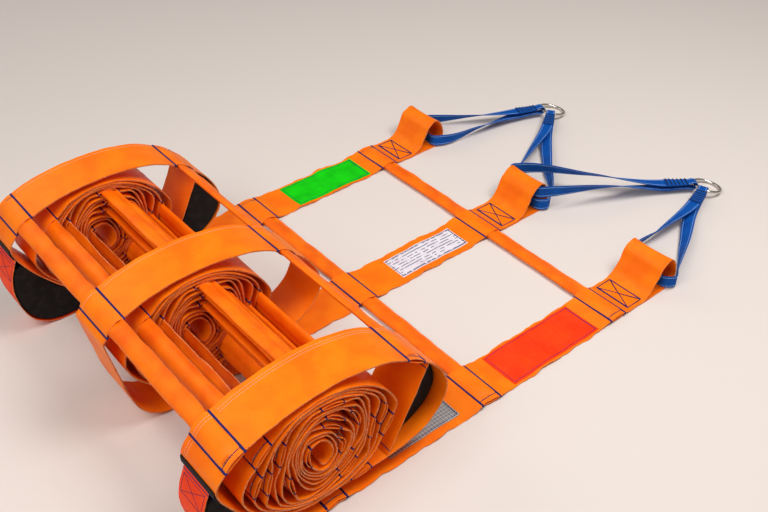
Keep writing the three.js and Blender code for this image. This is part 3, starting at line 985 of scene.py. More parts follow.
@dataclass
class StrapCloth:
    """How the two plies of a strap lie: puffed at the pockets, pinched at the seams, wavy at the edges."""

    x: float
    outward: int
    ripple: float = 0.0
    ripple_length: float = 120 * MM
    edge_wave: float = 0.5 * MM
    drift: float = 0.0
    width: float = STRAP_WIDTH
    seed: int = 0

    # Where the columns of a section stand, as shares of half the width.
    COLUMNS = np.array([-1, -0.94, -0.81, -0.62, -0.31, 0, 0.31, 0.62, 0.81, 0.94, 1])
    # The slot of each face of a section: cloth on both sides and a cut edge at either end.
    SLOTS = ([0] * (len(COLUMNS) - 1) + [1]) * 2
    # The lengths over which the edges wave, the strap drifts sideways and its cut edges fray.
    EDGE_LENGTH = 70 * MM
    DRIFT_LENGTH = 420 * MM
    FRAY_LENGTH = 50 * MM
    # Below 1, a pocket stands full rather than round.
    PUFF_POWER = 0.62
    # A pocket's closed end on an outer strap: how flat it lies, where it rises and how its lip lifts.
    END_FLAT = 0.34
    END_MARGIN = 7 * MM
    END_RISE = 11 * MM
    LIP_RISE = 0.10
    LIP_REACH = 6 * MM
    # How deep and how far a seam pulls the cloth in.
    PINCH_DEPTH = 0.22 * MM
    PINCH_REACH = 1.8 * MM
    FRAY_HEIGHT = 0.3 * MM
    # A heavy seam: where it turns over the edges, how far beyond, and how far off square it runs.
    SEAM_MARGIN = 1.5 * MM
    SEAM_WRAP = 2.3 * MM
    SEAM_SLANT = 0.6 * MM

    def across(self, route: StrapRoute, places: Array) -> Array:
        """The X of each column at each place: (places, columns)."""
        half = self.width / 2
        ladder = route.ladder_start + places
        left, right = (
            half + self.edge_wave * wobble(ladder, self.seed + wave, self.EDGE_LENGTH) for wave in (11, 12)
        )
        reach = np.where(self.COLUMNS[None] < 0, left[:, None], right[:, None])
        shift = self.drift * wobble(ladder, self.seed + 13, self.DRIFT_LENGTH)
        return self.x + shift[:, None] + self.COLUMNS[None] * reach

    def half_height(self, route: StrapRoute, places: Array, shares: Array | None = None) -> Array:
        """Half the strap's thickness at each place and column."""
        shares = self.COLUMNS if shares is None else shares
        apart = route.from_pocket(places)
        puff = np.clip(1 - (apart / STITCH_REACH) ** 2, 0, 1) ** self.PUFF_POWER
        keep = np.ones(len(shares))
        if self.outward:
            inset = (1 - self.outward * shares) * self.width / 2
            rise = (1 - self.END_FLAT) * eased((inset - self.END_MARGIN) / self.END_RISE)
            keep = self.END_FLAT + rise + self.LIP_RISE * np.clip(1 - inset / self.LIP_REACH, 0, 1)
        pinch = self.PINCH_DEPTH * np.exp(-(((np.abs(apart) - STITCH_REACH) / self.PINCH_REACH) ** 2))
        loose = self.FRAY_HEIGHT * np.clip(np.abs(shares) - 0.9, 0, 1) * 10
        along = wobble(route.ladder_start + places, self.seed + 14, self.FRAY_LENGTH)
        fray = loose[None] * np.clip(along, 0, 1)[:, None]
        return HALF_STRAP + POCKET_RISE * puff[:, None] * keep[None] - pinch[:, None] + fray

    def lift(self, route: StrapRoute, places: Array, shares: Array | None = None) -> Array:
        """How far the cloth ripples up off its middle line at each place and column."""
        shares = self.COLUMNS if shares is None else shares
        apart = np.abs(route.from_pocket(places))
        ends = np.minimum(places, route.line.length - places)
        free = eased((np.minimum(apart, ends + 30 * MM) - 32 * MM) / (45 * MM))
        ladder = route.ladder_start + places
        waves = [
            np.clip(0.25 + wobble(ladder, self.seed + 15 + k, self.ripple_length), 0, 2)[:, None]
            * np.clip(sign * shares, 0, 1)[None] ** 2
            for k, sign in enumerate((-1, 1))
        ]
        body = 0.25 * np.clip(wobble(ladder, self.seed + 17, self.ripple_length * 1.4), 0, 1)[:, None]
        return self.ripple * free[:, None] * (waves[0] + waves[1] + body)

    def surface(
        self, route: StrapRoute, places: Array, x: Array, side: int, clear: float = 0.0
    ) -> tuple[Array, Array]:
        """Points on one face of the strap, and the way out of it.

        Args:
            route: The stretch of strap.
            places: Places along it.
            x: The X of each point.
            side: 1 for the inner or upper face, -1 for the outer one.
            clear: How far off the face the points stand.

        Returns:
            The points and the outward directions.
        """
        places, x = np.broadcast_arrays(np.asarray(places, float), np.asarray(x, float))
        middle, normal = route.line.at(places), route.line.inward(places)
        shares = np.clip((x - self.x) / (self.width / 2), -1, 1)
        height, lift = (
            np.array([np.interp(s, self.COLUMNS, row) for s, row in zip(shares, rows, strict=True)])
            for rows in (self.half_height(route, places), self.lift(route, places))
        )
        found = middle + normal * (side * (height + clear) + lift)[:, None]
        return np.concatenate([x[:, None], found], 1), in_row_frame(normal * side)

    def plies(self, skin: Skin, route: StrapRoute, places: Array) -> None:
        """Adds the two plies between the first and last of the places. Slot 0 is cloth and 1 its edge."""
        x = self.across(route, places)
        height, lift = self.half_height(route, places), self.lift(route, places)
        around = round_trip(self.COLUMNS * self.width / 2)
        for high, low in ((height, height - PLY), (PLY - height, -height)):
            off = there_and_back(high + lift, low + lift)
            rings = route.sections(places, there_and_back(x, x), off)
            skin.loft(rings, around, route.ladder_start + places, self.SLOTS, cap_slot=1)

    def seam_around(
        self, skin: Skin, route: StrapRoute, place: float, slot: int, radius: float, stitch: float
    ) -> None:
        """Sews a heavy seam across the strap and over its edges, on both faces."""
        half = self.width / 2 - self.SEAM_MARGIN
        steps = 9
        there = np.linspace(-half, half, steps)
        drift = self.across(route, np.array([place]))[0].mean() - self.x
        spots = np.full(steps, place)
        slant = self.SEAM_SLANT * wobble(np.array([place]), self.seed + 21, 50 * MM)[0]
        spots = spots + slant * np.linspace(-1, 1, steps)
        clear = radius * 0.05
        top, up = self.surface(route, spots, self.x + drift + there, 1, clear)
        low, down = self.surface(route, spots, self.x + drift + there[::-1], -1, clear)
        sideways = np.array([1.0, 0, 0])
        right = (top[-1] + low[0]) / 2 + sideways * self.SEAM_WRAP
        left = (top[0] + low[-1]) / 2 - sideways * self.SEAM_WRAP
        path = np.concatenate([top, right[None], low, left[None]])
        out = np.concatenate([up, sideways[None], down, -sideways[None]])
        skin.thread(path, out, radius, stitch, slot, closed=True, tight=0.3)

    def seam_along(
        self, skin: Skin, route: StrapRoute, low: float, high: float, x: float, side: int, slot: int,
        radius: float, stitch: float, tight: float = 0.9,
    ) -> None:
        """Sews a light seam along the strap on one face."""
        places = np.linspace(low, high, max(2, round((high - low) / (4 * MM))))
        drift = self.across(route, places).mean(1) - self.x
        path, out = self.surface(route, places, self.x + x + drift, side, radius * 0.2)
        skin.thread(path, out, radius, stitch, slot, tight=tight)


@dataclass
class Stretch:
    """One stretch of the three straps: from a fold, or the free end, to the next."""

    name: str
    node: str
    body: str
    first_rung: int
    coarse: float
    drift: float
    ripple: float
    hem: bool


class Straps:
    """The three straps, sewn from two plies with a pocket for each rung."""

    STRETCHES = (
        Stretch("bay_1", "strap_bay_1", "bay_1", 2, 5 * MM, 0, 3.2 * MM, False),
        Stretch("bay_2", "strap_bay_2", "laid_out_bay", 3, 5 * MM, 0, 2.0 * MM, False),
        Stretch("bay_3", "strap_bay_3", "laid_out_bay", 4, 4 * MM, 0, 0.0, True),
        Stretch("rolled", "strap_roll", "roll", 5, 5 * MM, 1.6 * MM, 0.0, True),
    )
    PITCH = 305 * MM
    # The hem seam: how far it runs into the roll, its distances from the edge, its radius and stitch.
    HEM_STRETCH = 1.45
    HEM_INSETS = (8 * MM, 13 * MM)
    HEM_SEAM = 0.65 * MM
    HEM_STITCH = 4.4 * MM
    HEAVY_SEAM = 2.5 * MM
    HEAVY_STITCH = 3.2 * MM
    DEEP_SEAM = 1.7 * MM
    DEEP_STITCH = 6 * MM
    # The seam that shuts a pocket's outer end.
    END_SEAM = 0.85 * MM
    END_STITCH = 4 * MM
    END_INSET = 8.5 * MM

    def __init__(self, finishes: Finishes) -> None:
        """Reads the three straps' routes from the frame.

        Args:
            finishes: The ladder's materials.
        """
        self.finishes = finishes
        self.hinges = {j["name"]: np.array(j["pos_m"][1:]) for j in frame["joints"]}
        self.routes: dict[tuple[str, Side], StrapRoute] = {}
        self.cloths: dict[tuple[str, Side], StrapCloth] = {}
        for side in Side:
            near = self.hinges["end_fold"]
            for stretch in self.STRETCHES:
                node = f"{stretch.node}_{side.value}"
                start = (stretch.first_rung - 2) * self.PITCH + FOLD_REACH
                route = StrapRoute.from_node(node, near, start)
                near = route.line.at(np.array([route.line.length]))[0]
                low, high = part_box(node)
                self.routes[stretch.name, side] = route
                self.cloths[stretch.name, side] = StrapCloth(
                    (low.x + high.x) / 2, side.outward, stretch.ripple, drift=stretch.drift,
                    edge_wave=(1.9 if stretch.ripple else 0.6) * MM, seed=100 * (side.outward + 2),
                )

    def rung_frame(self, rung: int) -> tuple[Array, Array, Array]:
        """A rung's middle, and the ways along the strap and into the roll there.

        Args:
            rung: The rung's number, from 1 at the rings.

        Returns:
            The middle and the two directions, in the (Y, Z) plane.
        """
        if rung == 1:
            low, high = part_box("rung_sleeve_01")
            middle = np.array([(low.y + high.y) / 2, (low.z + high.z) / 2])
            return middle, np.array([-1.0, 0]), np.array([0.0, 1])
        name, index = {2: ("bay_1", 0), 3: ("bay_2", 0), 4: ("bay_3", 0)}.get(rung, ("rolled", rung - 5))
        route = self.routes[name, Side.LEFT]
        place = np.array([route.pockets[index]])
        return route.line.at(place)[0], route.line.along(place)[0], route.line.inward(place)[0]

    def build(self) -> None:
        """Sews every stretch and the folds between them."""
        for side in Side:
            for stretch in self.STRETCHES:
                self.sew(stretch, side)
        self.fold("end_fold", "bay_1")
        self.fold("bay_fold", "bay_2")
        self.fold("roll_turn", "rolled")

    def sew(self, stretch: Stretch, side: Side) -> None:
        """Sews one stretch of one strap."""
        route, cloth = self.routes[stretch.name, side], self.cloths[stretch.name, side]
        skin = Skin()
        ends_in_fold = stretch.name in ("bay_1", "bay_3")
        starts_in_fold = stretch.name in ("bay_1", "bay_2", "rolled")
        first = FOLD_HALF if starts_in_fold else 0.0
        last = route.line.length - (FOLD_HALF if ends_in_fold else 0.0)
        cloth.plies(skin, route, route.stations(first, last, stretch.coarse))
        for number, pocket in enumerate(route.pockets):
            shown = stretch.name != "rolled" or number < 1
            radius, stitch = (
                (self.HEAVY_SEAM, self.HEAVY_STITCH) if shown else (self.DEEP_SEAM, self.DEEP_STITCH)
            )
            for way in (-1, 1):
                cloth.seam_around(skin, route, pocket + way * STITCH_REACH, 2, radius, stitch)
            if side.outward:
                x = side.outward * (cloth.width / 2 - self.END_INSET)
                low, high = pocket - STITCH_REACH, pocket + STITCH_REACH
                for face in (-1, 1):
                    cloth.seam_along(skin, route, low, high, x, face, 2, self.END_SEAM, self.END_STITCH, 0.6)
        if stretch.hem:
            end = min(last - 4 * MM, self.HEM_STRETCH) if stretch.name == "rolled" else last - 2 * MM
            for inset in self.HEM_INSETS[: 2 if side is Side.RIGHT else 1]:
                x = inset - cloth.width / 2
                cloth.seam_along(skin, route, 4 * MM, end, x, -1, 3, self.HEM_SEAM, self.HEM_STITCH)
        made = skin.build(
            f"{side.value}_strap_{stretch.name}",
            [self.finishes.orange, self.finishes.edge, self.finishes.navy, self.finishes.pink],
        )
        settle(made, stretch.body, [f"{stretch.node}_{side.value}"])

    def fold(self, joint: str, name: str) -> None:
        """Bridges a fold with a short width of cloth.

        Args:
            joint: The joint at the fold.
            name: The stretch that starts at the fold.
        """
        skin = Skin()
        for side in Side:
            route = self.routes[name, side]
            ahead = route.line.along(np.array([0.0]))[0]
            middle = route.line.at(np.array([0.0]))[0]
            reach = np.array([-FOLD_HALF - 0.3 * MM, 0, FOLD_HALF + 0.3 * MM])
            bridge = StrapRoute(Line(middle + reach[:, None] * ahead), [], route.ladder_start + reach[0])
            cloth = self.cloths[name, side]
            plain = StrapCloth(cloth.x, 0, 0.0, edge_wave=cloth.edge_wave, drift=0.0, seed=cloth.seed)
            plain.plies(skin, bridge, np.linspace(0, bridge.line.length, 9))
        made = skin.build(f"{joint}_cloth", [self.finishes.orange, self.finishes.edge])
        settle(made, None)
        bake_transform(made)


@dataclass
class EndLoops:
    """The laid-out ends of the straps: rung 1's pocket, a boxed seam, and an arched loop for a sling."""

    straps: Straps
    finishes: Finishes
    box_start: float = 30 * MM
    box_end: float = 70 * MM
    far: float = 150 * MM

    @property
    def rung_y(self) -> float:
        """The Y of rung 1, from which the loops are set out."""
        return self.straps.rung_frame(1)[0][0]

    def route(self) -> StrapRoute:
        """The way from the fold through the pocket, out along the ground, over and back to the box."""
        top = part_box("strap_end_left")[1].z - HALF_STRAP
        far, start, end = self.far, self.box_start, self.box_end
        low, lapped = HALF_STRAP * 1.06, HALF_STRAP * 3.2
        way = [
            (-22 * MM, 6 * MM), (0, 6 * MM), (15 * MM, 6 * MM), (22 * MM, 5.2 * MM), (start, 2.2 * MM),
            (start + 8 * MM, low), (end, low), (end + 30 * MM, low), (far - 20 * MM, low),
            (far - 6 * MM, 8 * MM), (far, 26 * MM), (far - 5 * MM, 46 * MM), (far - 20 * MM, top),
            (far - 31 * MM, top - 4 * MM), (far - 52 * MM, 30 * MM), (end + 12 * MM, 9 * MM),
            (end, lapped), (start + 16 * MM, lapped), (start, lapped + 0.2 * MM),
            (start - 2 * MM, lapped + 0.5 * MM),
        ]
        points = np.array([(self.rung_y + y, z) for y, z in way])
        return StrapRoute(Line(points), [22 * MM], -22 * MM)

    def build(self) -> None:
        """Sews the three ends."""
        for side in Side:
            self.sew(side)

    def sew(self, side: Side) -> None:
        """Sews one end."""
        low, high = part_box(f"strap_end_{side.value}")
        route = self.route()
        # The line runs towards the rings, so its inward side faces down.
        seed = 100 * (side.outward + 2) + 50
        cloth = LoopCloth((low.x + high.x) / 2, side.outward, edge_wave=0.8 * MM, seed=seed)
        skin = Skin()
        cloth.plies(skin, route, route.stations(FOLD_HALF, route.line.length, 4 * MM))
        for way in (-1, 1):
            place = route.pockets[0] + way * STITCH_REACH
            cloth.seam_around(skin, route, place, 2, Straps.HEAVY_SEAM, Straps.HEAVY_STITCH)
        if side.outward:
            x = side.outward * (cloth.width / 2 - Straps.END_INSET)
            cloth.seam_along(
                skin, route, 4 * MM, 40 * MM, x, -1, 2, Straps.END_SEAM, Straps.END_STITCH, 0.6
            )
        self.box_seams(skin, cloth.x)
        made = skin.build(
            f"{side.value}_strap_end_loop", [self.finishes.orange, self.finishes.edge, self.finishes.navy]
        )
        settle(made, "top_end", [f"strap_end_{side.value}"])

    def box_seams(self, skin: Skin, x: float) -> None:
        """Sews the rectangle and its cross through the lapped cloth."""
        inset, half = 4 * MM, 35 * MM
        height = 4.35 * MM
        near, far = self.rung_y + self.box_start + inset, self.rung_y + self.box_end - 1 * MM
        corners = [(x + way * half, y, height) for y in (near, far) for way in (-1, 1)]
        up = np.array([[0, 0, 1.0], [0, 0, 1.0]])
        # The seam beside the pocket is the heaviest, as it takes the sling's pull.
        runs = [(0, 1, 2.3), (2, 3, 1.6), (0, 2, 1.2), (1, 3, 1.2), (0, 3, 1.2), (1, 2, 1.2)]
        for a, b, radius in runs:
            skin.thread(np.array([corners[a], corners[b]]), up, radius * MM, 3.6 * MM, 2, tight=0.6)


@dataclass
class LoopCloth(StrapCloth):
    """A strap's cloth where it arches into an end loop: the crest leans and creases to one side."""

    # How much of the strap lies on the ground before the arch, and in the lapped seam after it.
    GROUNDED = 150 * MM
    LAPPED = 70 * MM

    def lift(self, route: StrapRoute, places: Array, shares: Array | None = None) -> Array:
        """How far the arch leans and creases off its middle line."""
        shares = self.COLUMNS if shares is None else shares
        blend = 50 * MM
        left = route.line.length - self.LAPPED - places
        arch = eased((places - self.GROUNDED) / blend) * eased(left / blend)
        creases = 1.8 * MM * np.clip(wobble(places, self.seed + 31, 70 * MM), 0, 1)[:, None]
        lean = 2.5 * MM * np.clip(np.abs(shares[None]) - 0.3, 0, 1) ** 2
        waver = 2.0 * MM * np.clip(shares[None] * wobble(places, self.seed + 32, 90 * MM)[:, None], 0, 1)
        return arch[:, None] * (creases + lean + waver)


# ---------------------------------------------------------------------------
# Rungs
# ---------------------------------------------------------------------------


@dataclass
class Rungs:
    """Rungs: a glass-fibre batten in a fabric sleeve, whose seam lies flat along one side."""

    straps: Straps
    finishes: Finishes
    ridge_half: float = 11.0 * MM
    ridge_height: float = 4.7 * MM
    ridge_shift: float = -2.6 * MM
    flange_reach: float = 16.6 * MM
    flange_half: float = 0.7 * MM
    flange_heights: tuple[float, ...] = (1.9, 1.2, 1.05, 1.0)
    droop: float = 1.6 * MM
    crease: float = 0.35 * MM
    strap_grip: float = 52 * MM
    batten_half: float = 8.4 * MM
    batten_height: float = 3.3 * MM
    end_round: float = 4 * MM
    step: float = 8 * MM
    hem_seam: float = 0.4 * MM
    last_batten: int = 5
    last_hemmed: int = 6

    def body(self, rung: int) -> str:
        """The CAD body that a rung rides on."""
        return {1: "top_end", 2: "bay_1", 3: "laid_out_bay", 4: "laid_out_bay"}.get(rung, "roll")

    def build(self) -> None:
        """Makes every rung that the frame has."""
        count = sum(name.startswith("rung_sleeve_") for name in frame["nodes"])
        for rung in range(1, count + 1):
            self.sleeve(rung)
            if rung <= self.last_batten:
                self.batten(rung)

    def place(self, rung: int, x: Array, across: Array, height: Array) -> Array:
        """Points given across the rung and up from its middle, in the row frame."""
        middle, along, inward = self.straps.rung_frame(rung)
        flat = middle + across[..., None] * along + height[..., None] * inward
        return np.concatenate([np.broadcast_to(x, across.shape)[..., None], flat], -1)

    def sleeve(self, rung: int) -> None:
        """Makes one sleeve."""
        node = f"rung_sleeve_{rung:02d}"
        low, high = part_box(node)
        x = np.linspace(low.x + 1.5 * MM, high.x - 1.5 * MM, round((high.x - low.x) / self.step))
        seed = 900 + 7 * rung
        way = -1 if rung <= 3 or rung % 5 == 1 else 1
        # Half a section from the batten's free side to the seam's edge, as shares of each part.
        ridge = -np.cos(np.linspace(0, 0.86 * math.pi, 9))
        ridge_up = (1 - np.abs(ridge) ** 2.3) ** 0.5
        flange = np.array([0.12, 0.45, 0.8, 1.0])
        wave = wobble(x, seed, 160 * MM)[:, None]
        wide = self.ridge_half * (1 + 0.04 * wobble(x, seed + 1, 220 * MM)[:, None])
        across_ridge = self.ridge_shift + 0.7 * MM * wave + ridge[None] * wide
        foot = across_ridge[:, -1:]
        reach = self.flange_reach + 0.9 * MM * wobble(x, seed + 2, 90 * MM)[:, None]
        across_flange = foot + flange[None] * (reach - foot)
        across = np.concatenate([across_ridge, across_flange], 1) * way
        height = np.concatenate(
            [
                self.ridge_height * ridge_up[None] * (1 + 0.05 * wobble(x, seed + 3, 130 * MM)[:, None]),
                np.broadcast_to(np.array(self.flange_heights) * self.flange_half, (len(x), len(flange))),
            ],
            1,
        )
        from_strap = np.abs(x - self.nearest_strap(x))[:, None]
        free = 0.3 + 0.7 * eased(np.abs(from_strap - self.strap_grip) / (40 * MM))
        droop = self.droop * free * wobble(x, seed + 4, 210 * MM)[:, None]
        bend = np.concatenate([np.zeros((len(x), len(ridge))), flange[None] ** 1.5 * droop], 1)
        crease = self.crease * wobble(x, seed + 5, 60 * MM)[:, None] * np.sin(across / (3.4 * MM))
        upper, lower = height + bend + crease, bend - height - crease
        section = there_and_back(across, across)
        rings = self.place(rung, x[:, None], section, there_and_back(upper, lower))
        size = section.shape[1]
        slots = [0] * size
        # The flange's tip takes the orange cut edge, whose pinkish tint is partly a painted highlight.
        slots[size // 2 - 1] = 1
        skin = Skin()
        skin.loft(rings, along=x, slots=slots, cap_slot=2)
        if rung <= self.last_hemmed:
            self.hem(skin, rung, x, across, upper)
        made = skin.build(
            f"rung_{rung:02d}_sleeve",
            [self.finishes.sleeve, self.finishes.edge, self.finishes.dark_edge, self.finishes.pink],
            sharp=70,
        )
        settle(made, self.body(rung), [node])

    def nearest_strap(self, x: Array) -> Array:
        """The X of the strap nearest to each X."""
        straps = np.array([self.straps.cloths["bay_1", side].x for side in Side])
        return straps[np.argmin(np.abs(x[:, None] - straps), 1)]

    def hem(self, skin: Skin, rung: int, x: Array, across: Array, upper: Array) -> None:
        """Sews the sleeve's long seam, between the straps, along the last column but one of its flange."""
        points = self.place(rung, x, across[:, -2], upper[:, -2] + 0.1 * MM)
        inward = self.straps.rung_frame(rung)[2]
        out = np.broadcast_to(np.array([0, *inward]), points.shape)
        between = np.abs(x - self.nearest_strap(x)) > STRAP_WIDTH / 2 + 1 * MM
        edges = np.flatnonzero(np.diff(between.astype(int)))
        for start, end in zip(edges[::2] + 1, edges[1::2] + 1, strict=False):
            skin.thread(points[start:end], out[start:end], self.hem_seam, 4.2 * MM, 3, tight=0.9)

    def batten(self, rung: int) -> None:
        """Makes the batten inside a sleeve, with its ends rounded off."""
        node = f"rung_rod_{rung:02d}"
        low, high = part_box(node)
        half = (high.x - low.x) / 2
        turn = np.linspace(0, math.pi, 7)
        shrink = np.concatenate([np.sin(turn[1:4]), np.ones(12), np.sin(turn[3:6])])
        inset = self.end_round * (1 - np.cos(turn[1:4]))
        straight = half - 2 * self.end_round
        x = np.concatenate([inset - half, np.linspace(-straight, straight, 12), half - inset[::-1]])
        angles = np.linspace(0, 2 * math.pi, 16, endpoint=False)
        middle = self.ridge_shift * (-1 if rung <= 3 else 1)
        across = middle + self.batten_half * np.cos(angles)[None] * shrink[:, None]
        height = self.batten_height * np.sin(angles)[None] * shrink[:, None]
        skin = Skin()
        skin.loft(self.place(rung, x[:, None], across, height))
        made = skin.build(f"rung_{rung:02d}_batten", [self.finishes.core])
        settle(made, self.body(rung), [node])


# ---------------------------------------------------------------------------
# Patches
# ---------------------------------------------------------------------------


@dataclass
class Patch:
    """A flat patch sewn to a strap."""

    name: str
    node: str
    stretch: str
    side: Side
    slot: Slot
    material: str
    body: str
    seam_inset: float = 4 * MM
    thickness: float = 0.5 * MM
    puff: float = 0.5 * MM
    ripple: float = 0.8 * MM
    side_seam: float = 0.65 * MM
    end_seam: float = 1.2 * MM


@dataclass
class Patches:
    """The colour patches, the data label and the reflective sheet."""

    straps: Straps
    finishes: Finishes

    PATCHES = (
        Patch("green_side_patch", "green_patch", "bay_1", Side.LEFT, Slot.GREEN_FABRIC, "green", "bay_1"),
        Patch("red_side_patch", "red_patch", "bay_1", Side.RIGHT, Slot.RED_FABRIC, "red", "bay_1"),
        Patch("ruled_data_label", "data_label", "bay_1", Side.CENTRE, Slot.LABEL, "label", "bay_1", 2.6 * MM),
        Patch(
            "reflective_side_patch", "reflective_patch", "bay_2", Side.RIGHT, Slot.REFLECTIVE, "reflective",
            "laid_out_bay", 3 * MM,
        ),
    )
    # How far a patch, or its seam, stands off what it lies on.
    GAP = 0.12 * MM

    def build(self) -> None:
        """Sews every patch."""
        for patch in self.PATCHES:
            self.sew(patch)

    def sew(self, patch: Patch) -> None:
        """Cuts one patch to its CAD size and sews it on."""
        low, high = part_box(patch.node)
        route = self.straps.routes[patch.stretch, patch.side]
        cloth = self.straps.cloths[patch.stretch, patch.side]
        start = route.line.nearest(np.array([high.y, high.z]))
        end = route.line.nearest(np.array([low.y, low.z]))
        places = np.linspace(start, end, max(2, round((end - start) / (3 * MM))))
        x = np.linspace(low.x, high.x, 19)
        base = np.array([cloth.surface(route, np.full(len(x), p), x, 1)[0] for p in places])
        out = in_row_frame(route.line.inward(places))[:, None]
        beside, beyond = np.minimum(x - low.x, high.x - x), np.minimum(places - start, end - places)
        edge = np.minimum(beside[None], beyond[:, None])
        full = 0.7 + 0.5 * wobble(places, 400 + len(patch.name), 70 * MM)[:, None]
        puff = patch.puff * eased(edge / (9 * MM)) * full
        wave = patch.ripple * wobble(places, 401 + len(patch.node), 40 * MM)[:, None] * eased(edge / (6 * MM))
        rise = (0.15 * MM + puff + np.clip(wave, 0, None))[..., None]
        top = base + out * (rise + patch.thickness)
        skin = Skin()
        skin.loft(there_and_back(top, base + out * self.GAP), round_trip(x), places + route.ladder_start)
        self.border(skin, patch, top, x, places)
        main = getattr(self.finishes, patch.material)
        made = skin.build(patch.name, [main, self.finishes.navy])
        settle(made, patch.body, [patch.node])

    def border(self, skin: Skin, patch: Patch, top: Array, x: Array, places: Array) -> None:
        """Sews the seam round the patch's edge."""
        inset = patch.seam_inset
        columns = np.interp([x[0] + inset, x[-1] - inset], x, np.arange(len(x)))
        rows = np.interp([places[0] + inset, places[-1] - inset], places, np.arange(len(places)))

        def at(row: Array, column: Array) -> Array:
            """Points on the patch's face, between its rows and columns."""
            row, column = np.broadcast_arrays(np.asarray(row, float), np.asarray(column, float))
            i, j = np.minimum(row.astype(int), len(places) - 2), np.minimum(column.astype(int), len(x) - 2)
            u, v = (row - i)[:, None], (column - j)[:, None]
            near = top[i, j] * (1 - v) + top[i, j + 1] * v
            far = top[i + 1, j] * (1 - v) + top[i + 1, j + 1] * v
            return near * (1 - u) + far * u + np.array([0, 0, self.GAP])

        long_way, short_way = np.linspace(*rows, len(places)), np.linspace(*columns, 20)
        up = np.array([0, 0, 1.0])
        thin, heavy = patch.side_seam, patch.end_seam
        for path, radius in (
            (at(long_way, columns[0]), thin), (at(long_way, columns[1]), thin),
            (at(rows[0], short_way), heavy), (at(rows[1], short_way), thin),
        ):
            skin.thread(path, np.broadcast_to(up, path.shape), radius, 3.6 * MM, 1, tight=0.6)


# ---------------------------------------------------------------------------
# Stand-offs
# ---------------------------------------------------------------------------


